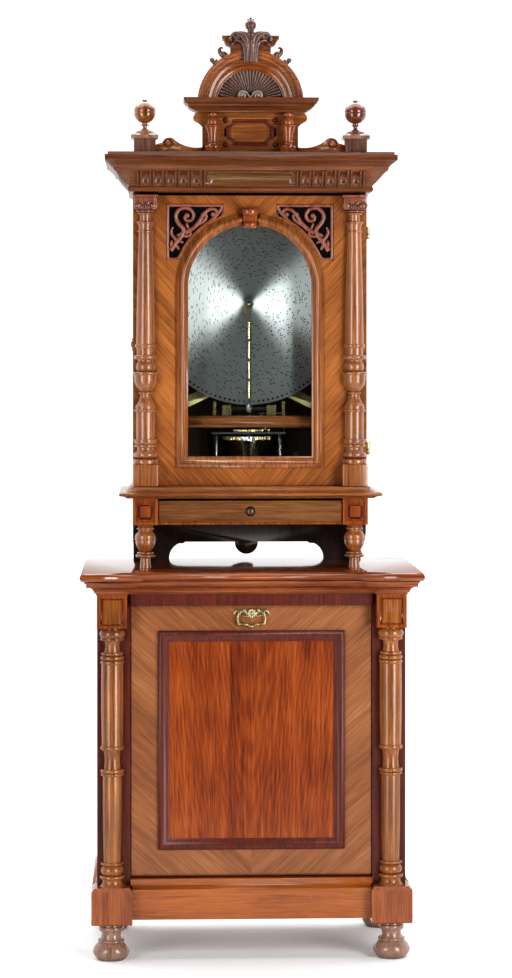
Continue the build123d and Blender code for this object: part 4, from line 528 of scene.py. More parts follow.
# The light, middle and dark colour of each wood.
WALNUT = ((0.46, 0.182, 0.055), (0.26, 0.089, 0.026), (0.095, 0.029, 0.010))
REDDISH = ((0.37, 0.108, 0.026), (0.23, 0.058, 0.013), (0.085, 0.019, 0.006))
GOLDEN = ((0.44, 0.165, 0.042), (0.275, 0.092, 0.022), (0.115, 0.034, 0.009))
BORDER = ((0.34, 0.140, 0.055), (0.24, 0.088, 0.032), (0.13, 0.044, 0.016))
FIGURED = ((0.34, 0.080, 0.013), (0.20, 0.036, 0.005), (0.055, 0.008, 0.002))
# Cornice walnut: partly its own colour, partly painted shade for its downward-facing, shadowed faces.
CORNICE_SHADED = ((0.24, 0.085, 0.026), (0.135, 0.042, 0.014), (0.05, 0.014, 0.006))
DRAWER = ((0.24, 0.110, 0.043), (0.155, 0.064, 0.024), (0.07, 0.026, 0.010))
BASE = ((0.42, 0.125, 0.021), (0.29, 0.078, 0.013), (0.12, 0.030, 0.006))
DARK = ((0.15, 0.024, 0.010), (0.085, 0.012, 0.006), (0.030, 0.005, 0.003))
CARVED = ((0.20, 0.105, 0.072), (0.105, 0.048, 0.032), (0.030, 0.013, 0.009))
POST = ((0.38, 0.140, 0.031), (0.24, 0.079, 0.015), (0.09, 0.026, 0.006))
# Pale greyish tone: the walnut's own colour lightened with painted sheen.
FOOT_SHEEN = ((0.40, 0.235, 0.175), (0.25, 0.135, 0.095), (0.09, 0.045, 0.032))
BALL = ((0.46, 0.20, 0.055), (0.27, 0.095, 0.024), (0.07, 0.022, 0.008))
RED_BALL = ((0.26, 0.075, 0.035), (0.14, 0.036, 0.018), (0.045, 0.011, 0.006))
# Near-black apron colour: painted shade under the case.
APRON_SHADE = ((0.050, 0.018, 0.012), (0.024, 0.009, 0.006), (0.010, 0.004, 0.003))
# Pale silvery tone: painted highlight on the carved volutes.
VOLUTE_HIGHLIGHT = ((0.62, 0.53, 0.47), (0.44, 0.36, 0.31), (0.16, 0.11, 0.09))
FRET = ((0.36, 0.15, 0.095), (0.24, 0.085, 0.052), (0.08, 0.024, 0.016))
OLIVE = ((0.22, 0.115, 0.042), (0.14, 0.068, 0.024), (0.06, 0.026, 0.010))
SHELL = ((0.36, 0.25, 0.20), (0.22, 0.14, 0.11), (0.06, 0.035, 0.028))
INNER = ((0.16, 0.09, 0.05), (0.10, 0.055, 0.03), (0.05, 0.028, 0.016))


def middle(name: str) -> Vector:
    """The middle of a CAD node's box, in metres."""
    low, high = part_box(name)
    return (low + high) / 2


@dataclass
class Finishes:
    """Every finish of the music box, built once and shared."""

    made: dict[str, bpy.types.Material] = field(default_factory=dict)

    def __post_init__(self) -> None:
        """Builds all the materials."""
        door_middle = (0.0, 0.0, middle("door_frame").z)
        flap_middle = (0.0, 0.0, middle("flap").z)
        for finish in (
            Wood("walnut_upright", *WALNUT),
            Wood("walnut_across", *WALNUT, grain=Grain.ACROSS),
            Wood("column_walnut", *WALNUT, gloss=0.34, coat=1.0, edge=0.0),
            Wood("post_walnut", *POST, figure=0.8, gloss=0.28, coat=0.6, edge=0.0),
            # Foot and pedestal finish: walnut with painted sheen in its colour.
            Wood("foot_walnut_sheen", *FOOT_SHEEN, gloss=0.26, coat=0.8, edge=0.0),
            Wood("ball_walnut", *BALL, figure=1.2, gloss=0.16, coat=1.0, edge=0.0),
            Wood("door_veneer", *GOLDEN, grain=Grain.CHEVRON, figure=0.8, gloss=0.3, lean=-42.0,
                 centre=door_middle),
            # Cornice finish darkened with painted shade.
            Wood("cornice_walnut_shaded", *CORNICE_SHADED, grain=Grain.ACROSS, gloss=0.32, coat=0.25),
            Wood("drawer_walnut", *DRAWER, grain=Grain.ACROSS, figure=0.8),
            Wood("base_walnut", *BASE, grain=Grain.ACROSS, figure=0.6),
            Wood("red_upright", *REDDISH),
            Wood("red_across", *REDDISH, grain=Grain.ACROSS),
            Wood("polished_top", *REDDISH, grain=Grain.ACROSS, gloss=0.16, coat=1.0),
            Wood("flap_veneer", *BORDER, grain=Grain.CHEVRON, figure=0.6, gloss=0.38, coat=0.25, lean=-48.0,
                 centre=flap_middle),
            Wood("flap_figured", *FIGURED, figure=0.8, gloss=0.32, coat=0.3, centre=flap_middle,
                 cathedral=0.07),
            Wood("mahogany_dark", *DARK, figure=0.3, gloss=0.42, coat=0.12),
            # Apron finish: painted shade.
            Wood("apron_painted_shade", *APRON_SHADE, gloss=0.4, coat=0.2),
            Wood("ball_mahogany", *RED_BALL, gloss=0.16, coat=1.0, edge=0.0),
            Wood("carved_brown", *CARVED, figure=0.3, gloss=0.3, hollow_shade=0.85, edge=0.0),
            # Volute finish: painted highlight in its colour.
            Wood("carved_painted_highlight", *VOLUTE_HIGHLIGHT, figure=0.3, gloss=0.14, coat=1.0, hollow_shade=0.9, edge=0.0),
            Wood("carved_mahogany", *FRET, figure=0.3, gloss=0.2, hollow_shade=0.8, edge=0.0),
            Wood("board_olive", *OLIVE, grain=Grain.ACROSS),
            Wood("shell_wood", *SHELL, figure=0.3, gloss=0.3, hollow_shade=1.0, edge=0.0),
            Wood("inner_wood", *INNER, gloss=0.6, coat=0.0, hollow_shade=0.2),
            Metal("aged_brass", (0.46, 0.40, 0.22), (0.20, 0.18, 0.10), gloss=0.34, tarnish=0.8, hollow_shade=0.9),
            Metal("dark_bronze", (0.20, 0.13, 0.09), (0.09, 0.06, 0.045), gloss=0.4, tarnish=0.6),
            Metal("movement_brass", (0.80, 0.66, 0.34), (0.42, 0.40, 0.20), gloss=0.25, tarnish=0.5),
            Metal("bright_steel", (0.80, 0.81, 0.82), (0.52, 0.53, 0.55), gloss=0.2, tarnish=0.4),
            Metal("dark_steel", (0.30, 0.31, 0.32), (0.12, 0.12, 0.13), gloss=0.32),
            Metal("bronzed_iron", (0.44, 0.40, 0.20), (0.26, 0.24, 0.13), gloss=0.4, tarnish=0.6),
            DiscSteel("disc_steel", tuple(middle("tune_disc"))),
            PaneGlass("pane_glass"),
            # Near-black sheet behind the frets: painted shade.
            Plain("shade_backing", (0.003, 0.003, 0.004), 1.0),
        ):
            self.made[finish.name] = finish.build()

    def __getitem__(self, name: str) -> bpy.types.Material:
        """The material of a finish by its name."""
        return self.made[name]


# ---------------------------------------------------------------- mesh making
def new_object(name: str, mesh: bpy.types.Mesh, body: str, material: bpy.types.Material,
               nodes: Iterable[str] = (),
               smooth: float = 35.0) -> bpy.types.Object:
    """Makes a finished object from a mesh.

    Args:
        name: the object's name.
        mesh: its mesh, in the row frame, in metres.
        body: the body that it moves with.
        material: its material.
        nodes: CAD nodes that it stands for.
        smooth: the angle under which edges are smooth, in degrees.

    Returns:
        The object.
    """
    made = bpy.data.objects.new(name, mesh)
    bpy.context.scene.collection.objects.link(made)
    mesh.materials.clear()
    mesh.materials.append(material)
    mesh.polygons.foreach_set("use_smooth", [True] * len(mesh.polygons))
    mesh.set_sharp_from_angle(angle=math.radians(smooth))
    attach(made, body)
    if nodes:
        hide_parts(*nodes)
    return made


def finish_mesh(bm: bmesh.types.BMesh, name: str, merge: float = 0.00001) -> bpy.types.Mesh:
    """Merges doubles, turns the faces outwards and gives the mesh.

    Args:
        bm: the shape; it is freed.
        name: the mesh's name.
        merge: how near points are merged, in metres.

    Returns:
        The mesh.
    """
    bmesh.ops.remove_doubles(bm, verts=bm.verts[:], dist=merge)
    bmesh.ops.recalc_face_normals(bm, faces=bm.faces[:])
    mesh = bpy.data.meshes.new(name)
    bm.to_mesh(mesh)
    bm.free()
    return mesh


def merged_copy(node: bpy.types.Object, name: str,
                gone: Optional[Callable[[Vector], bool]] = None) -> bpy.types.Mesh:
    """A copy of a CAD node's mesh with its loose triangles merged.

    Args:
        node: the CAD node.
        name: the new mesh's name.
        gone: tells whether a point at some place is left out.

    Returns:
        The merged mesh.
    """
    bm = bmesh.new()
    bm.from_mesh(node.data)
    bmesh.ops.remove_doubles(bm, verts=bm.verts[:], dist=0.000002)
    if gone:
        bmesh.ops.delete(bm, geom=[v for v in bm.verts if gone(v.co)], context="VERTS")
    mesh = bpy.data.meshes.new(name)
    bm.to_mesh(mesh)
    bm.free()
    return mesh


def fuse(made: bpy.types.Object, voxel: float) -> None:
    """Fuses an object's overlapping lumps into one smooth skin, with a voxel size in metres."""
    remesh = made.modifiers.new("merge", "REMESH")
    remesh.mode = "VOXEL"
    remesh.voxel_size = voxel
    remesh.use_smooth_shade = True


def cut_flat(bm: bmesh.types.BMesh, y: float) -> None:
    """Cuts off what lies behind a plane's place in depth, in millimetres, and closes the cut."""
    bmesh.ops.remove_doubles(bm, verts=bm.verts[:], dist=0.00001)
    cut = bmesh.ops.bisect_plane(bm, geom=bm.verts[:] + bm.edges[:] + bm.faces[:], clear_outer=True,
                                 plane_co=(0, y * MM, 0), plane_no=(0, 1, 0))
    rim = [e for e in cut["geom_cut"] if isinstance(e, bmesh.types.BMEdge)]
    bmesh.ops.holes_fill(bm, edges=rim, sides=0)


def cut_below(bm: bmesh.types.BMesh, z: float) -> None:
    """Cuts off what lies below a height in metres."""
    bmesh.ops.bisect_plane(bm, geom=bm.verts[:] + bm.edges[:] + bm.faces[:], clear_inner=True,
                           plane_co=(0, 0, z), plane_no=(0, 0, 1))


def mirrored(points: Iterable[tuple[float, ...]], side: int) -> list[tuple[float, ...]]:
    """The points as they are for side 1, or mirrored to the left for side -1."""
    return [(side * point[0], *point[1:]) for point in points]


def spun(bm: bmesh.types.BMesh, profile: Sequence[tuple[float, float]], x: float, y: float,
         steps: int = 56) -> None:
    """Adds a turned form from a (radius, height) profile, in millimetres.

    Args:
        bm: the mesh that the form is added to.
        profile: points from the foot to the top.
        x: the axis's place across, in millimetres.
        y: the axis's place in depth, in millimetres.
        steps: steps round the axis.
    """
    verts = [bm.verts.new(((x + max(r, 0.0)) * MM, y * MM, z * MM)) for r, z in profile]
    edges = [bm.edges.new(pair) for pair in zip(verts, verts[1:])]
    bmesh.ops.spin(bm, geom=verts + edges, cent=(x * MM, y * MM, 0), axis=(0, 0, 1), angle=math.tau,
                   steps=steps, use_merge=True, use_duplicate=False)


def tube(bm: bmesh.types.BMesh, points: Sequence[tuple[float, ...]], radii: Sequence[float], y: float,
         flat: float = 1.0, closed: bool = False) -> None:
    """Adds a smooth tube along a route in a plane that faces the front, in millimetres.

    Args:
        bm: the mesh that the tube is added to.
        points: (x, z) or (x, z, y) points along it; y counts from the plane.
        radii: the tube's radius at even steps along it.
        y: the plane's place in depth.
        flat: how deep the tube is for its width.
        closed: whether it runs round to its start.
    """
    data = bpy.data.curves.new("route", "CURVE")
    data.dimensions = "3D"
    data.bevel_depth = 1.0 * MM
    data.bevel_resolution = 3
    data.use_fill_caps = True
    spline = data.splines.new("NURBS")
    spline.points.add(len(points) - 1)
    for k, (spot, point) in enumerate(zip(points, spline.points)):
        along = k / (len(points) - 1) * (len(radii) - 1)
        low = min(int(along), len(radii) - 2) if len(radii) > 1 else 0
        share = along - low
        radius = radii[low] * (1 - share) + radii[min(low + 1, len(radii) - 1)] * share
        depth = spot[2] if len(spot) > 2 else 0.0
        point.co = (spot[0] * MM, depth * MM, spot[1] * MM, 1.0)
        point.radius = radius
    spline.order_u = 3
    spline.use_cyclic_u = closed
    spline.use_endpoint_u = not closed
    spline.resolution_u = 6
    holder = bpy.data.objects.new("route", data)
    mesh = bpy.data.meshes.new_from_object(holder)
    mesh.transform(Matrix.Translation((0, y * MM, 0)) @ Matrix.Diagonal((1, flat, 1, 1)))
    bm.from_mesh(mesh)
    bpy.data.objects.remove(holder)
    bpy.data.curves.remove(data)
    bpy.data.meshes.remove(mesh)


def bead(bm: bmesh.types.BMesh, x: float, y: float, z: float, size: Sequence[float],
         turn: float = 0.0) -> None:
    """Adds an egg-shaped lump, in millimetres.

    Args:
        bm: the mesh that it is added to.
        x: its middle across.
        y: its middle in depth.
        z: its middle in height.
        size: its half sizes across, in depth and in height.
        turn: its lean to the right, in degrees.
    """
    made = bmesh.ops.create_uvsphere(bm, u_segments=14, v_segments=10, radius=1.0)
    matrix = Matrix.Translation((x * MM, y * MM, z * MM)) @ Matrix.Rotation(math.radians(turn), 4, "Y")
    matrix = matrix @ Matrix.Diagonal((size[0] * MM, size[1] * MM, size[2] * MM, 1))
    bmesh.ops.transform(bm, matrix=matrix, verts=made["verts"])


def block(bm: bmesh.types.BMesh, low: Sequence[float], high: Sequence[float], bevel: float = 1.2,
          steps: int = 2) -> None:
    """Adds a block between two corners, with its edges rounded or chamfered, in millimetres.

    Args:
        bm: the mesh that it is added to.
        low: its low corner.
        high: its high corner.
        bevel: how far the edges are cut back.
        steps: steps across each edge; 1 for a plain chamfer.
    """
    made = bmesh.ops.create_cube(bm, size=1.0)
    size = [h - l for l, h in zip(low, high)]
    matrix = Matrix.Translation([(l + h) / 2 * MM for l, h in zip(low, high)]) @ Matrix.Diagonal(
        [s * MM for s in size] + [1.0])
    bmesh.ops.transform(bm, matrix=matrix, verts=made["verts"])
    edges = {e for v in made["verts"] for e in v.link_edges}
    bmesh.ops.bevel(bm, geom=list(edges), offset=bevel * MM, segments=steps, profile=0.5, affect="EDGES",
                    material=-1)


def spiral(x: float, z: float, outer: float, inner: float, start: float,
           sweep: float) -> list[tuple[float, float]]:
    """Points of a spiral that winds inwards.

    Args:
        x: its centre across, in millimetres.
        z: its centre in height.
        outer: its first radius.
        inner: its last radius.
        start: the angle that it starts at, in degrees from the right, upwards.
        sweep: how far it winds, in degrees; negative for clockwise.

    Returns:
        (x, z) points.
    """
    count = max(8, int(abs(sweep) / 24))
    points = []
    for k in range(count + 1):
        share = k / count
        angle = math.radians(start + sweep * share)
        radius = outer + (inner - outer) * share
        points.append((x + radius * math.cos(angle), z + radius * math.sin(angle)))
    return points


class Profile:
    """The side of a turned post, drawn upwards from its foot, in millimetres."""

    def __init__(self, z: float) -> None:
        """Starts on the axis at a height."""
        self.points: list[tuple[float, float]] = [(0.0, z)]
        self.z = z

    def to(self, rise: float, radius: float) -> "Profile":
        """A straight side that ends a rise higher at a radius."""
        self.z += rise
        self.points.append((radius, self.z))
        return self

    def curve(self, rise: float, radius: float, swell: float, count: int = 8) -> "Profile":
        """A curved side.

        Args:
            rise: how much higher it ends.
            radius: the radius that it ends at.
            swell: how far its middle stands out from the straight line; negative for a hollow.
            count: steps along it.

        Returns:
            The profile.
        """
        r0, z0 = self.points[-1]
        for k in range(1, count + 1):
            t = k / count
            self.points.append((r0 + (radius - r0) * t + swell * math.sin(math.pi * t), z0 + rise * t))
        self.z = z0 + rise
        return self

    def bead(self, rise: float, radius: float, count: int = 8) -> "Profile":
        """A half-round bead that stands out to a radius and comes back.

        Args:
            rise: the bead's height.
            radius: its greatest radius.
            count: steps along it.

        Returns:
            The profile.
        """
        r0, z0 = self.points[-1]
        for k in range(1, count + 1):
            t = math.pi * k / count
            self.points.append((r0 + (radius - r0) * math.sin(t) ** 0.75 if k < count else r0,
                                z0 + rise * (1 - math.cos(t)) / 2))
        self.z = z0 + rise
        return self

    def end(self) -> list[tuple[float, float]]:
        """Closes the top on the axis and gives the points."""
        self.points.append((0.0, self.z))
        return self.points


@dataclass
class Assembly:
    """What the sub-assemblies share: the frame and the finishes."""

    frame: dict[str, Any]
    finishes: Finishes

    def node(self, name: str) -> bpy.types.Object:
        """A CAD node by its name."""
        return self.frame["nodes"][name]

    def dress(self, name: str, finish: str) -> None:
        """Gives a CAD node a finish and leaves its shape alone."""
        mesh = self.node(name).data
        mesh.materials.clear()
        mesh.materials.append(self.finishes[finish])

    def refine(self, name: str, finish: str, slot: str, smooth: float = 38.0) -> bpy.types.Object:
        """Stands a merged and smoothed copy of a CAD node in its place.

        Args:
            name: the CAD node.
            finish: the copy's finish.
            slot: the record's material slot; not used.
            smooth: the angle under which edges are smooth, in degrees.

        Returns:
            The object.
        """
        node = self.node(name)
        mesh = merged_copy(node, name + "_fine")
        return new_object(name + "_fine", mesh, node["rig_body"], self.finishes[finish], [name], smooth)

    def add(self, name: str, bm: bmesh.types.BMesh, body: str, finish: str, nodes: Sequence[str], slot: str,
            smooth: float = 35.0) -> bpy.types.Object:
        """Makes an object from a shape that is ready.

        Args:
            name: the object's name.
            bm: its shape; it is freed.
            body: the body that it moves with.
            finish: its finish.
            nodes: CAD nodes that it stands for.
            slot: the record's material slot; not used.
            smooth: the angle under which edges are smooth, in degrees.

        Returns:
            The object.
        """
        return new_object(name, finish_mesh(bm, name), body, self.finishes[finish], nodes, smooth)


@dataclass
class DiscCabinet(Assembly):
    """The lower cabinet with its columns, flap and feet."""

    column_radius: float = 22.5
    column_x: float = 335.0
    column_y: float = -171.0
    stile_y: float = -163.0
    sill_z: float = 176.0
    ring_z: float = 440.0
    waist_z: float = 502.0
    neck_z: float = 708.0
    capital_z: float = 795.0
    foot_radius: float = 44.0
    panel_half: float = 24.0
    handle_z: float = 827.0

    def columns(self) -> None:
        """Turned columns on the corners, cut flat against the stiles."""
        r = self.column_radius
        p = Profile(self.sill_z).to(0, r + 7).curve(18, r + 2, -3).to(0, r + 4).bead(8, r + 7).to(0, r)
        p.curve(24, r - 1, 5.5, 10).to(0, r - 2).bead(8, r + 5).to(0, r - 1.5)
        p.curve(self.ring_z - p.z, r + 0.5, 0.8, 10)
        p.bead(8, r + 5).to(0, r + 2.5).bead(9, r + 6).to(0, r - 2)
        p.curve(self.waist_z - p.z, r - 1, -2.4).to(0, r + 2).bead(11, r + 6).to(0, r + 3)
        p.curve(self.neck_z - p.z, r + 4, 0.8).to(0, r + 3).bead(9, r + 6).to(1, r + 2)
        p.bead(10, r + 6).to(1, r + 1).bead(8, r + 4).to(0, r - 2.5).curve(28, r - 2.5, -2.4).to(0, r + 4)
        p.bead(6, r + 6.5).to(0, r + 5).curve(21, r + 3, 4.5, 10).to(0, r).to(self.capital_z - p.z, r)
        points = p.end()
        for side, tag in SIDES:
            bm = bmesh.new()
            spun(bm, points, side * self.column_x, self.column_y, 64)
            cut_flat(bm, self.stile_y)
            self.add("cabinet_column_" + tag, bm, "case", "post_walnut", ["cabinet_columns"], "walnut_red")

    def feet(self) -> None:
        """Four bun feet."""
        low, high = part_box("cabinet_feet")
        r = self.foot_radius
        xs = (low.x / MM + r, high.x / MM - r)
        ys = (low.y / MM + r, high.y / MM - r)
        for i, x in enumerate(xs):
            for j, y in enumerate(ys):
                p = Profile(0.0).to(0, r - 11).curve(42, r - 13, 12.0, 16).to(0, r - 14).bead(6, r - 11.5)
                p.to(0, r - 16).curve(20, r - 20, -2.5).to(0, r - 18).bead(12, r - 14).to(88 - p.z, r - 19)
                bm = bmesh.new()
                spun(bm, p.end(), x, y)
                name = f"bun_foot_{2 * i + j + 1}"
                self.add(name, bm, "case", "foot_walnut_sheen", ["cabinet_feet"], "walnut_red")

    def corner_panels(self) -> None:
        """The raised and reeded panels on the upper corner blocks."""
        node = self.node("cabinet_corner_blocks")
        front = min(v.co.y for v in node.data.vertices if v.co.z > (self.capital_z + 8) * MM) / MM
        low, high = self.capital_z + 9.0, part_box("cabinet_corner_blocks")[1].z / MM - 8.0
        half = self.panel_half
        for side, tag in SIDES:
            x = side * self.column_x
            bm = bmesh.new()
            block(bm, (x - half, front + 0.3, low), (x + half, front + 9, high), 4.5, 1)
            for shift in (-13, -6.5, 0, 6.5, 13):
                drop = 10 - abs(shift) * 0.4
                tube(bm, [(x + shift, low + 9), (x + shift, (low + high) / 2), (x + shift, high - drop)],
                     [2.2, 3.0, 2.6], front + 1.8, 0.6)
            self.add("corner_panel_" + tag, bm, "case", "post_walnut", [], "walnut_red", 30)

    def handle(self) -> None:
        """The pierced leaf plate and the shaped drop bail on the flap."""
        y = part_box("handle_plate")[1].y / MM - 1.5
        z = self.handle_z
        leaves = (
            ([(9, z - 2), (18, z + 7), (28, z + 4), (31, z - 3), (26, z - 5)], [3.5, 4, 3.5, 3, 2.4]),
            ([(24, z + 5), (33, z + 8), (40, z + 3), (43, z - 3)], [3.5, 3.5, 3, 1.5]),
            ([(11, z - 6), (18, z - 8), (24, z - 4)], [3, 2.6, 1.6]),
        )
        bm = bmesh.new()
        for k in range(8):
            a = math.radians(k * 45)
            bead(bm, 8.5 * math.cos(a), y - 1, z + 8.5 * math.sin(a), (4, 2.6, 4))
        bead(bm, 0, y, z, (8, 2.5, 8))
        bead(bm, 0, y - 2, z, (4, 2.5, 4))
        for side in (-1, 1):
            for points, radii in leaves:
                tube(bm, mirrored(points, side), radii, y, 0.7)
            bead(bm, side * 29, y - 2, z + 1, (4.5, 3.4, 4.5))
            bead(bm, side * 17, y - 1, z + 8, (4, 2.5, 3), side * 30)
        plate = self.add("handle_leaves", bm, "cabinet_flap", "aged_brass", ["handle_plate"], "aged_brass",
                         60)
        bm = bmesh.new()
        low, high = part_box("bail_handle")
        y = (low.y + high.y) / 2 / MM
        route = [(29, 828.5), (34, 820), (33, 809), (30, 802), (22, 803), (12, 801), (5, 797)]
        tube(bm, mirrored(route, -1) + [(0, 795)] + route[::-1], [2.4], y)
        for x, h in ((-30, 802.5), (-13, 801), (0, 796.5), (13, 801), (30, 802.5)):
            bead(bm, x, y, h, (4.6, 3.2, 3.4))
        bail = self.add("bail_shaped", bm, "bail_handle", "aged_brass", ["bail_handle"], "aged_brass", 60)
        for made in (plate, bail):
            fuse(made, 0.0006)

    def build(self) -> None:
        """Dresses and builds the whole cabinet."""
        self.dress("cabinet_carcase", "red_upright")
        self.refine("cabinet_top", "polished_top", "walnut_red")
        self.refine("cabinet_cornice", "red_across", "walnut_red")
        self.refine("cabinet_plinth", "base_walnut", "walnut_red")
        self.refine("cabinet_corner_blocks", "red_upright", "walnut_red", 20)
        self.corner_panels()
        self.dress("cabinet_face_frame", "mahogany_dark")
        self.columns()
        self.feet()
        self.dress("flap", "flap_veneer")
        self.dress("flap_panel", "flap_figured")
        self.refine("flap_moulding", "mahogany_dark", "mahogany_dark", 40)
        self.dress("disc_rack", "inner_wood")
        self.handle()
        log.info("disc cabinet")


@dataclass
class MusicBoxCase(Assembly):
    """The upper case: feet, drawer, door and cornice."""

    column_x: float = 255.5
    column_y: float = -64.0
    door_y: float = -57.0
    shaft_z: float = 1182.5
    neck_z: float = 1747.0
    capital_z: float = 1797.0
    foot_z: float = 930.0
    corner_z: float = 1036.0
    front_y: float = -94.5
    block_half: float = 30.5
    block_z: float = 1129.5
    boss_z: float = 1068.0
    window_z: float = 1615.5
    fret_arc: float = 187.5
    fret_inner: float = 65.0
    flute_pitch: float = 30.7
    cornice_reach: float = 67.0
    board_y: float = -119.5
    board_z: float = 1878.0
    board_half: float = 89.0
    board_round: float = 19.0

    def columns(self) -> None:
        """The two turned columns on the door."""
        r = 22.0
        p = Profile(self.shaft_z).to(0, r + 6).bead(12.5, r + 8.5).to(0, r - 2).to(4, r + 1).bead(13, r + 7)
        p.to(0, r + 2).curve(12, r - 1, -2).to(0, r + 2).bead(7, r + 5).curve(9, r + 5, 1).bead(4, r + 6.6)
        p.to(0, r + 1).to(66, r + 1).bead(7, r + 5).to(0, r + 2).curve(7, r + 3, 0).curve(29, r - 9, -2.5, 10)
        p.bead(6, r - 5).to(0, r - 9).curve(36, r + 5, 5.0, 14).to(5, r + 6).bead(8, r + 10).to(0, r - 2)
        p.curve(22, r - 1, 3.0).curve(8, r - 1, -2).to(0, r + 2).bead(11, r + 6.5).to(0, r)
        p.curve(18, r + 1, -1).bead(9, r + 4).to(0, r + 1).curve(self.neck_z - p.z, r - 5, 0.8, 12)
        p.bead(6, r - 2.5).to(0, r - 5).curve(16, r - 3.5, -0.6).bead(6, r - 0.5)
        p.to(0, r - 8).to(self.capital_z - p.z - 6, r - 8).bead(6, r - 3).to(self.capital_z - p.z, r - 5)
        points = p.end()
        for side, tag in SIDES:
            bm = bmesh.new()
            spun(bm, points, side * self.column_x, self.column_y)
            cut_flat(bm, self.door_y)
            self.plinth(bm, side * self.column_x)
            self.add("door_column_" + tag, bm, "case_door", "column_walnut", ["door_columns"],
                     "walnut_golden", 32)
            bm = bmesh.new()
            self.capital(bm, side * self.column_x)
            self.add("capital_" + tag, bm, "case_door", "carved_mahogany", ["door_columns"],
                     "walnut_golden", 40)

    def plinth(self, bm: bmesh.types.BMesh, x: float) -> None:
        """The plain block under a door column."""
        half = self.block_half
        block(bm, (x - half, self.front_y, self.block_z), (x + half, self.door_y, self.shaft_z))

    def capital(self, bm: bmesh.types.BMesh, x: float) -> None:
        """The scrolled capital over a door column."""
        z, half, front = self.capital_z, self.block_half, -91.0
        p = Profile(z).to(0, 19).bead(5, 23).curve(22, 25, 2).to(2, 25)
        spun(bm, p.end(), x, self.column_y, 32)
        block(bm, (x - 27, front, z + 24), (x + 27, self.door_y, z + 36))
        block(bm, (x - half, self.front_y, z + 36), (x + half, self.door_y, z + 42))
        eye_z = z + 15.5
        for side in (-1, 1):
            eye_x = x + side * 19.5
            route = [(x + side * 2, z + 23), (x + side * 10, z + 25)]
            route += spiral(eye_x, eye_z, 10.0, 2.0, 90, -side * 560)
            tube(bm, route, [2.6, 2.4, 2.0, 1.6], front + 2, 1.4)
            bead(bm, eye_x, front + 6, eye_z, (9.5, 7.5, 9.5))
            bead(bm, eye_x, front + 1, eye_z, (2.4, 4, 2.4))
            bead(bm, eye_x, -70.0, eye_z, (10.0, 14, 10.0))
        for k in range(-2, 3):
            bead(bm, x + k * 4.4, front + 3, z + 15 - abs(k) * 1.2, (2.2, 4.0, 8.5 - abs(k)), k * 12)

    def fretwork(self) -> None:
        """The scrolled frets in the door's upper corners, each in a border before a near-black sheet: painted
        shade behind the fret.
        """
        low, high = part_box("spandrel_fretwork")
        y = (low.y + high.y) / 2 / MM
        outer, inner, top, foot = high.x / MM, self.fret_inner, high.z / MM, low.z / MM
        turns = [math.radians(a) for a in (68, 60, 52, 44, 36, 28, 21)]
        r = self.fret_arc
        arch = [(r * math.cos(a), self.window_z + r * math.sin(a)) for a in turns]
        edge = 3.6
        corners = [(outer - edge, foot + edge), (outer - edge, top - edge), (inner + edge, top - edge)]
        straight = [corners[0]] * 2 + [corners[1]] * 3 + [corners[2]] * 2
        bowed = [corners[2], (inner + 3, top - 13)] + arch[1:] + [(outer - 14, foot + 2), corners[0]]
        vines = (
            (straight, [4.6], 1.3),
            (bowed, [4.6], 1.3),
            ([(194, 1704), (183, 1722), (166, 1740), (160, 1757), (174, 1769), (183, 1786), (177, 1803),
              (160, 1811), (143, 1805), (136, 1790), (143, 1777), (156, 1777), (161, 1787), (155, 1792)],
             [7.0, 6.4, 5.8, 5.2, 5.0, 4.6, 4.2, 3.6], 1.2),
            ([(158, 1748), (140, 1757), (124, 1774), (114, 1794), (99, 1807), (85, 1806), (79, 1797),
              (86, 1790), (92, 1795)], [6.4, 5.6, 5.0, 4.6, 4.0, 3.4], 1.2),
            ([(128, 1768), (114, 1775), (105, 1786), (109, 1796), (117, 1796)], [5.2, 4.6, 4.0, 3.2], 1.2),
            ([(165, 1741), (150, 1738), (143, 1746), (147, 1754)], [4.8, 4.0, 2.8], 1.4),
            ([(178, 1728), (188, 1738), (194, 1752), (188, 1762)], [5.4, 4.4, 2.8], 1.4),
        )
        eyes = ((154, 1790, (7, 7, 7)), (90, 1793, (6.5, 7, 6.5)), (115, 1793, (5.5, 6, 5.5)))
        leaves = ((186, 1716, 5.5, 12, -38), (178, 1714, 4.5, 10, 34), (192, 1722, 4, 9, -8),
                  (170, 1727, 4, 9, 60), (172, 1744, 4, 9, -62), (153, 1765, 4, 9, 20))
        outline = [(outer - 1, foot + 1), (outer - 1, top - 1), (inner + 1, top - 1)] + arch
        backing_y = (high.y / MM - 2.0) * MM
        for side, tag in SIDES:
            bm = bmesh.new()
            for points, radii, flat in vines:
                tube(bm, mirrored(points, side), radii, y, flat)
            for x, z, size in eyes:
                bead(bm, side * x, y - 1, z, size)
            for x, z, wide, tall, turn in leaves:
                bead(bm, side * x, y - 2, z, (wide, 6, tall), side * turn)
            self.add("fret_" + tag, bm, "case_door", "carved_mahogany", ["spandrel_fretwork"],
                     "carved_brown", 50)
            # A near-black sheet behind the fret: painted shade for the dark space behind it.
            bm = bmesh.new()
            verts = [bm.verts.new((x * MM, backing_y, z * MM)) for x, z in mirrored(outline, side)]
            made = bmesh.ops.extrude_face_region(bm, geom=[bm.faces.new(verts)])
            back = [v for v in made["geom"] if isinstance(v, bmesh.types.BMVert)]
            bmesh.ops.translate(bm, vec=(0, 0.0012, 0), verts=back)
            self.add("fret_cloth_" + tag, bm, "case_door", "shade_backing", [], "inner_wood", 20)

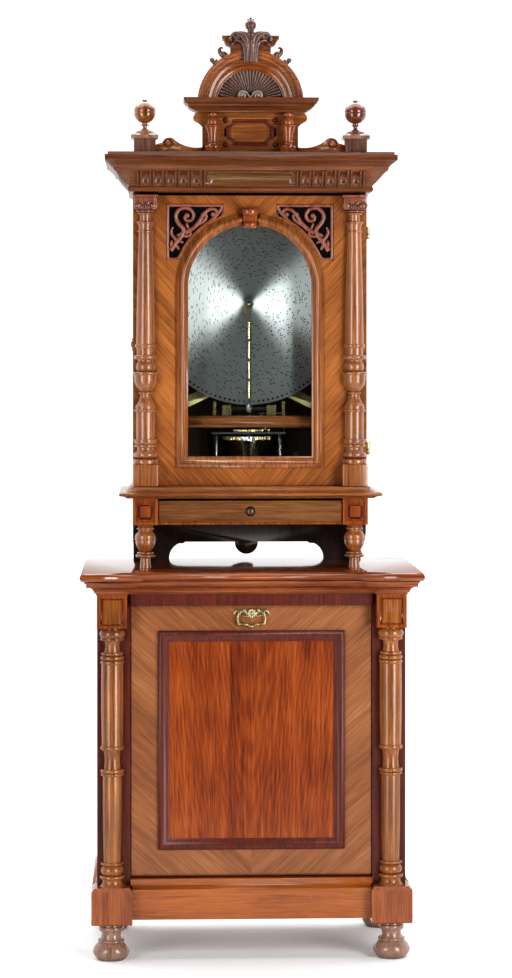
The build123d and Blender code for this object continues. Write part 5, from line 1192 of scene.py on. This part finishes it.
    def reeds(self) -> None:
        """Fine beads on both edges of each fillet between the cornice's flutes, and round the name board."""
        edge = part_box("case_sides")[1].x / MM - 16
        face = self.front_y - self.cornice_reach
        fillets = 6
        route = ((54, 1859), (46, 1868), (37, 1878), (29, 1887), (23, 1896))
        bm = bmesh.new()
        for side in (-1, 1):
            for k in range(fillets):
                for shift in (-4.2, 4.2):
                    x = side * (edge - k * self.flute_pitch + shift)
                    tube(bm, [(x, z, face + depth - 0.6) for depth, z in route], [2.3], 0.0)
        half, r = self.board_half, self.board_round
        sweep = (0.4, 0.9, 1.57, 2.2, 2.7)
        plate = [(half * s, r) for s in (-1, 0, 1)]
        plate += [(half + r * math.sin(a), r * math.cos(a)) for a in sweep]
        plate += [(half * s, -r) for s in (1, 0, -1)]
        plate += [(-half - r * math.sin(a), -r * math.cos(a)) for a in sweep]
        slope_z, slope_y = 0.750, -0.662
        rim = [(x, self.board_z + s * slope_z, self.board_y + s * slope_y - 1.6) for x, s in plate]
        tube(bm, rim, [1.7], 0.0, 1.0, True)
        self.add("cornice_reeds", bm, "case", "cornice_walnut_shaded", [], "walnut_golden", 60)

    def front_feet(self) -> None:
        """The two turned front feet; the aprons stay as the CAD has them."""
        limit = (self.column_y + 29.5) * MM
        mesh = merged_copy(self.node("case_feet"), "case_aprons", lambda spot: spot.y < limit)
        # The aprons get a near-black finish: painted shade.
        new_object("case_aprons", mesh, "case", self.finishes["apron_painted_shade"], ["case_feet"])
        p = Profile(self.foot_z).to(0, 14).curve(25, 12, -0.8).to(0, 18).bead(8, 24).to(0, 17).bead(6, 20)
        p.to(0, 12).curve(29, 24.5, 3.5, 12).bead(4, 26.5).to(0, 25).curve(14, 20, 2.2).curve(6, 16, -1)
        p.bead(7, 21).to(0, 17).curve(self.corner_z - p.z, 26, -2)
        points = p.end()
        for side, tag in SIDES:
            bm = bmesh.new()
            spun(bm, points, side * self.column_x, self.column_y)
            self.add("case_foot_" + tag, bm, "case", "column_walnut", ["case_feet"], "walnut_golden")

    def bosses(self) -> None:
        """The raised squares on the corners beside the drawer."""
        wide, tall, z = 18, 19, self.boss_z
        bm = bmesh.new()
        for side in (-1, 1):
            x = side * self.column_x
            block(bm, (x - wide, -96.4, z - tall), (x + wide, -86.0, z + tall), 5.0, 1)
        self.add("corner_bosses", bm, "case", "mahogany_dark", [], "walnut_golden", 20)

    def build(self) -> None:
        """Dresses and builds the whole case."""
        self.front_feet()
        self.refine("case_base", "walnut_across", "walnut_golden")
        self.dress("drawer_housing", "red_upright")
        self.bosses()
        self.dress("coin_drawer", "drawer_walnut")
        self.refine("drawer_escutcheon", "dark_bronze", "aged_brass")
        self.dress("case_sides", "walnut_upright")
        self.dress("case_back", "inner_wood")
        self.refine("cornice", "cornice_walnut_shaded", "walnut_golden")
        self.refine("name_board", "board_olive", "carved_brown")
        self.dress("door_frame", "door_veneer")
        self.refine("window_moulding", "walnut_upright", "mahogany_dark")
        self.refine("keystone", "red_upright", "walnut_golden")
        self.fretwork()
        self.reeds()
        self.dress("window_glass", "pane_glass")
        for name in ("door_hinge_halves", "case_hinge_halves"):
            self.refine(name, "aged_brass", "aged_brass")
        self.columns()
        log.info("music box case")


@dataclass
class Pediment(Assembly):
    """The pediment with its arch, shell, crest, balusters, brackets and finials."""

    block_top: float = 1987.0
    finial_x: float = 257.0
    finial_y: float = -74.0
    ball_radius: float = 27.0
    baluster_x: float = 91.0
    baluster_y: float = -95.0
    baluster_foot: float = 1951.0
    baluster_top: float = 2039.0
    arch_z: float = 2062.0
    board_y: float = -75.4
    board_z: float = 1992.0

    def finials(self) -> None:
        """Pedestals and turned balls."""
        limit = (self.block_top + 0.2) * MM
        mesh = merged_copy(self.node("finials"), "finial_pedestals", lambda spot: spot.z > limit)
        new_object("finial_pedestals", mesh, "case", self.finishes["foot_walnut_sheen"], ["finials"],
                   25)
        r, neck, steps = self.ball_radius, 7, 24
        p = Profile(self.block_top).to(0, 22).bead(3, 24).curve(9, 9, 4).to(0, 6).curve(8, 6, -1).bead(3, 11)
        p.to(0, neck).to(4, neck)
        base, rise = p.z, math.sqrt(r * r - neck * neck)
        for k in range(1, steps + 1):
            a = math.asin(-rise / r) + (math.pi - 2 * math.asin(neck / r)) * k / steps
            groove = 1.4 if k == steps // 2 else 0.0
            p.to(base + rise + r * math.sin(a) - p.z, r * math.cos(a) - groove)
        p.to(0, neck).bead(4, 6)
        points = p.end()
        for side, tag in SIDES:
            bm = bmesh.new()
            spun(bm, points, side * self.finial_x, self.finial_y, 64)
            finish = "ball_walnut" if side < 0 else "ball_mahogany"
            self.add("finial_ball_" + tag, bm, "case", finish, ["finials"], "walnut_golden", 40)

    def balusters(self) -> None:
        """The small turned balusters on their blocks."""
        p = Profile(self.baluster_foot).to(0, 17).bead(7, 18.5).to(0, 12).curve(6, 10, -1).bead(5, 13)
        p.to(0, 11).curve(34, 17.5, -1.5).to(0, 16).bead(5, 19).to(0, 12).curve(20, 8.5, 3).to(0, 9)
        p.bead(self.baluster_top - p.z, 13.5)
        points = p.end()
        for side, tag in SIDES:
            x = side * self.baluster_x
            bm = bmesh.new()
            spun(bm, points, x, self.baluster_y, 40)
            seat = bmesh.ops.create_cube(bm, size=1.0)
            size = Matrix.Diagonal((38 * MM, 33 * MM, 12 * MM, 1))
            spot = Matrix.Translation((x * MM, -97.5 * MM, (self.baluster_foot - 6) * MM))
            bmesh.ops.transform(bm, matrix=spot @ size, verts=seat["verts"])
            self.add("baluster_" + tag, bm, "case", "red_upright", ["balusters"], "carved_brown", 35)

    def shell(self) -> None:
        """The scallop shell: a fan of rounded ribs with two glossy volutes at its foot, pale with painted
        highlight.
        """
        low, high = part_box("shell")
        radius = (high.x - low.x) / 2
        foot = Vector((0.0, high.y - 0.012, low.z))
        bm = bmesh.new()
        made = bmesh.ops.create_cone(bm, cap_ends=True, segments=64, radius1=radius, radius2=radius,
                                     depth=0.010)
        matrix = Matrix.Translation((0, high.y - 0.005, low.z)) @ Matrix.Rotation(math.radians(90), 4, "X")
        bmesh.ops.transform(bm, matrix=matrix, verts=made["verts"])
        cut_below(bm, low.z)
        ribs = 27
        step = math.pi / ribs
        near, far = radius * 0.22, radius * 0.94
        deep = Matrix.Diagonal((1, 1.7, 1, 1))
        for k in range(ribs):
            turn = Matrix.Translation(foot) @ Matrix.Rotation(math.pi / 2 - step * (k + 0.5), 4, "Y")
            made = bmesh.ops.create_cone(bm, cap_ends=True, segments=12, radius1=near * step * 0.52,
                                         radius2=far * step * 0.52, depth=far - near)
            matrix = turn @ Matrix.Translation((0, 0, (near + far) / 2)) @ deep
            bmesh.ops.transform(bm, matrix=matrix, verts=made["verts"])
            made = bmesh.ops.create_uvsphere(bm, u_segments=12, v_segments=8, radius=far * step * 0.52)
            matrix = turn @ Matrix.Translation((0, 0, far)) @ deep
            bmesh.ops.transform(bm, matrix=matrix, verts=made["verts"])
        cut_below(bm, low.z)
        self.add("shell_ribs", bm, "case", "shell_wood", ["shell"], "carved_brown", 40)
        bm = bmesh.new()
        z = low.z / MM + 10.5
        front = high.y / MM - 24.0
        for side in (-1, 1):
            route = [(side * 1.0, z - 5), (side * 5, z + 1), (side * 9, z + 7)]
            route += spiral(side * 19.0, z, 11.0, 2.5, 125 if side > 0 else 55, -side * 600)
            tube(bm, route, [2.4, 3.0, 2.8, 2.5, 2.2], front, 1.3)
            bead(bm, side * 19.0, front - 1, z, (3.4, 4.5, 3.4))
        # The volutes' pale finish is a painted highlight.
        self.add("shell_volutes", bm, "case", "carved_painted_highlight", [], "carved_brown", 60)

    def crest(self) -> None:
        """The carved leaf crest: ribs that open into curled leaves, a ball, and leaves on the arch."""
        low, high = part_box("crest_carving")
        y = low.y / MM + 9.0
        top = high.z / MM
        ribs = (
            ([(3, 2160, 3), (4, 2190, 0), (5, 2212, -1), (11, 2226, -1), (20, 2233, 0), (27, 2230, 1)],
             [5, 5.5, 6, 5, 4, 2]),
            ([(9, 2160, 3), (9.5, 2190, 0), (13, 2212, -1), (26, 2228, -1), (39, 2231, 0), (48, 2223, 1),
              (50, 2216, 2)], [4.5, 5, 6, 6, 5, 3.5, 2]),
            ([(14, 2160, 5), (14.5, 2186, 3), (17, 2203, 3), (27, 2213, 3), (38, 2213, 4), (45, 2205, 5)],
             [4, 4.5, 5, 5, 3.5, 1.8]),
        )
        curls = ((27, 2231, 5.5), (49, 2214, 5.5), (43, 2203, 5.0), (30, 2222, 6.0), (38, 2219, 5.5))
        sprays = (
            ([(60, 2172, 14), (70, 2178, 14), (77, 2189, 14), (73, 2198, 14), (67, 2195, 14)],
             [7, 6.5, 5, 3, 2], 1.3),
            ([(64, 2172, 14), (61, 2180, 14), (64, 2187, 14)], [5, 3.5, 2], 1.2),
            ([(84, 2154, 14), (91, 2160, 14), (96, 2167, 14)], [5, 4, 4], 1.3),
        )
        bm = bmesh.new()
        for side in (-1, 1):
            for route, radii in ribs:
                tube(bm, mirrored(route, side), radii, y, 1.2)
            for x, z, size in curls:
                bead(bm, side * x, y + 2, z, (size, 7, size))
            bead(bm, side * 62, y + 14, 2178, (7, 8, 11), side * 40)
            bead(bm, side * 83, y + 14, 2158, (6, 7, 8), side * 48)
            for route, radii, flat in sprays:
                tube(bm, mirrored(route, side), radii, y, flat)
            bead(bm, side * 94, y + 14, 2166, (6, 6, 6))
            bead(bm, side * 84, y + 14, 2163, (3.5, 5, 6), side * -20)
        tube(bm, [(0, 2160, 0), (0, 2190, -2), (0, 2215, -2), (0, 2230, 0)], [5, 5, 6, 5], y, 1.3)
        bead(bm, 0, y - 5, 2207, (6.5, 6, 6.5))
        bead(bm, 0, y, 2228, (11, 7, 9))
        bead(bm, 0, y, 2237, (9, 8, 4))
        bead(bm, 0, y + 4, top - 20, (14, 12.5, 14))
        bead(bm, 0, y + 4, top - 5, (3.2, 3.2, 4.6))
        for turn in (-38, 38):
            bead(bm, turn * 0.14, y + 4, top - 8, (2.4, 3, 5), turn)
        made = self.add("crest_leaves", bm, "case", "carved_brown", ["crest_carving"], "carved_brown", 60)
        fuse(made, 0.0009)

    def beads(self) -> None:
        """The beads round the arch, the frame on the board and the buttons in its holes."""
        bm = bmesh.new()
        rings = ((125.5, -103.0, 2.2), (119.0, -102.0, 1.6), (108.0, -93.5, 2.6), (93.0, -84.5, 2.8),
                 (84.5, -80.0, 2.2))
        steps = 28
        for radius, y, size in rings:
            start = math.asin(10.5 / radius)
            angles = [start + (math.pi - 2 * start) * k / steps for k in range(steps + 1)]
            arc = [(radius * math.cos(a), self.arch_z + radius * math.sin(a)) for a in angles]
            tube(bm, arc, [size], y)
        self.add("arch_beads", bm, "case", "red_across", [], "walnut_golden", 60)
        bm = bmesh.new()
        wide, tall, notch, z = 53.0, 26.0, 13.0, self.board_z
        button_x, button_z = 61, 30
        for grow, size in ((0.0, 1.8), (4.5, 1.3)):
            path = []
            for s, t in ((1, 1), (1, -1), (-1, -1), (-1, 1)):
                side_end = (s * (wide + grow), z + t * (tall - notch + grow * 0.4))
                scoop = (s * (wide - notch * 0.72), z + t * (tall - notch * 0.72))
                flat_end = (s * (wide - notch + grow * 0.4), z + t * (tall + grow))
                corner = [side_end, side_end, scoop, flat_end, flat_end]
                path += corner if s * t < 0 else corner[::-1]
            tube(bm, path, [size], self.board_y, 1.0, True)
        for s in (-1, 1):
            for t in (-1, 1):
                bead(bm, s * button_x, -75, z + t * button_z, (5.4, 3.5, 5.4))
        self.add("board_frame", bm, "case", "mahogany_dark", [], "walnut_golden", 60)

    def build(self) -> None:
        """Dresses and builds the pediment."""
        self.beads()
        self.finials()
        self.balusters()
        self.shell()
        self.crest()
        self.refine("pediment_board", "walnut_across", "walnut_golden", 14)
        self.refine("pediment_cornice", "cornice_walnut_shaded", "walnut_golden", 35)
        self.refine("pediment_arch", "walnut_across", "walnut_golden", 30)
        self.refine("crest_cornice", "cornice_walnut_shaded", "walnut_golden", 30)
        self.refine("scroll_brackets", "walnut_across", "carved_brown", 30)
        log.info("pediment")


@dataclass
class Movement(Assembly):
    """The tune disc, the comb work, the pressure bar and the spring motor."""

    def build(self) -> None:
        """Dresses the movement."""
        for name, finish, slot in (
            ("bedplate", "bronzed_iron", "bronzed_iron"),
            ("comb_bridge", "bronzed_iron", "bronzed_iron"),
            ("star_wheels", "dark_steel", "dark_steel"),
            ("combs", "bright_steel", "disc_steel"),
            ("pressure_bar", "dark_steel", "dark_steel"),
            ("pressure_rollers", "movement_brass", "disc_steel"),
            ("bar_latch", "aged_brass", "aged_brass"),
            ("bar_bearings", "movement_brass", "aged_brass"),
            ("drive_sprocket", "bright_steel", "dark_steel"),
            ("train_wheel", "movement_brass", "aged_brass"),
            ("great_wheel", "movement_brass", "aged_brass"),
            ("spring_barrel", "bright_steel", "aged_brass"),
            ("governor_wheel", "movement_brass", "aged_brass"),
            ("governor_fan", "movement_brass", "aged_brass"),
            ("motor_frame", "bright_steel", "aged_brass"),
            ("winding_arbor", "bright_steel", "dark_steel"),
            ("side_plates", "aged_brass", "aged_brass"),
            ("coin_chute", "movement_brass", "aged_brass"),
            ("movement_rail", "walnut_across", "walnut_golden"),
        ):
            self.refine(name, finish, slot, 32)
        self.dress("tune_disc", "disc_steel")
        log.info("movement")


@dataclass
class Studio:
    """The floor, the lights and the camera."""

    distance: float = 6.35
    front_y: float = -0.233
    horizon_z: float = 1.448
    azimuth: float = -2.2
    lens: float = 98.2
    aim_x: float = 0.008
    axis_row: float = 355.4
    rows: float = 978.0

    def floor(self) -> None:
        """A pale floor that throws back less light than the camera sees."""
        bm = bmesh.new()
        bmesh.ops.create_grid(bm, x_segments=2, y_segments=2, size=1.0)
        matrix = Matrix.Translation((0, 0.5, 0)) @ Matrix.Diagonal((2.6, 2.4, 1, 1))
        bmesh.ops.transform(bm, matrix=matrix, verts=bm.verts[:])
        mesh = bpy.data.meshes.new("floor")
        bm.to_mesh(mesh)
        bm.free()
        made = bpy.data.objects.new("floor", mesh)
        bpy.context.scene.collection.objects.link(made)
        g = Graph("pale_floor")
        pale = g.node("ShaderNodeBsdfPrincipled", None, {
            "Base Color": (0.93, 0.94, 0.95), "Roughness": 0.8, "Specular IOR Level": 0.1,
            "Emission Color": (0.90, 0.96, 1.0), "Emission Strength": 0.07})
        dull = g.node("ShaderNodeBsdfDiffuse", None, {"Color": (0.80, 0.80, 0.79)})
        seen = g.node("ShaderNodeLightPath").outputs["Is Camera Ray"]
        mesh.materials.append(g.layered(seen, dull, pale))

    def area(self, name: str, spot: Sequence[float], aim: Sequence[float], size: Sequence[float],
             power: float) -> None:
        """Adds a soft box light.

        Args:
            name: the light's name.
            spot: where it stands.
            aim: what it points at.
            size: its width and height.
            power: in watts.
        """
        data = bpy.data.lights.new(name, "AREA")
        data.shape = "RECTANGLE"
        data.size, data.size_y = size
        data.energy = power
        made = bpy.data.objects.new(name, data)
        bpy.context.scene.collection.objects.link(made)
        made.location = spot
        made.rotation_euler = (Vector(aim) - Vector(spot)).to_track_quat("-Z", "Y").to_euler()

    def lights(self) -> None:
        """Two tall soft boxes, one from each side, and a wide one overhead."""
        self.area("left_box", (-2.4, -3.0, 1.2), (0, 0, 1.3), (1.3, 3.4), 82)
        self.area("right_box", (2.1, -2.8, 1.3), (0, 0, 1.3), (1.2, 3.2), 116)
        self.area("top_box", (0, 0.7, 3.7), (0, 0.7, 0), (4.6, 3.2), 130)

    def surround(self) -> None:
        """A room that is white behind and at the sides, dark in front, and plain white to the camera."""
        world = bpy.data.worlds.new("surround")
        world.use_nodes = True
        g = Graph("surround", world.node_tree)
        x, y, _ = g.axes(g.node("ShaderNodeTexCoord").outputs["Generated"])
        level = y.ramp(-0.2, 0.3) * 0.9 + abs(x).ramp(0.45, 0.9) * 0.35 + 0.02
        seen = Value(g, g.node("ShaderNodeLightPath").outputs["Is Camera Ray"])
        strength = level * (1.0 - seen) + seen * 1.02
        shade = g.node("ShaderNodeBackground", None, {"Color": (1.0, 1.0, 1.0), "Strength": strength})
        g.tree.links.new(shade.outputs[0], g.output.inputs[0])
        bpy.context.scene.world = world

    def camera(self) -> None:
        """The camera at the photograph's place and angle."""
        data = bpy.data.cameras.new("view")
        data.lens = self.lens
        data.sensor_width = 36.0
        data.sensor_fit = "AUTO"
        made = bpy.data.objects.new("view", data)
        bpy.context.scene.collection.objects.link(made)
        turn = math.radians(self.azimuth)
        made.location = (self.aim_x + self.distance * math.sin(turn),
                         self.front_y - self.distance * math.cos(turn), self.horizon_z)
        made.rotation_euler = (math.radians(90), 0, turn)
        data.shift_y = -(self.rows / 2 - self.axis_row) / self.rows
        bpy.context.scene.camera = made

    def build(self) -> None:
        """Builds the studio."""
        self.floor()
        self.lights()
        self.surround()
        self.camera()
        view = bpy.context.scene.view_settings
        view.view_transform = "Standard"
        view.look = "Medium High Contrast"
        log.info("studio")


def main() -> None:
    """Loads the frame, builds every sub-assembly and the studio."""
    logging.basicConfig(level=logging.INFO, format="%(name)s: %(message)s")
    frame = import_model()
    finishes = Finishes()
    for part in (DiscCabinet, MusicBoxCase, Pediment, Movement):
        part(frame, finishes).build()
    Studio().build()


if __name__ == "__main__":
    main()
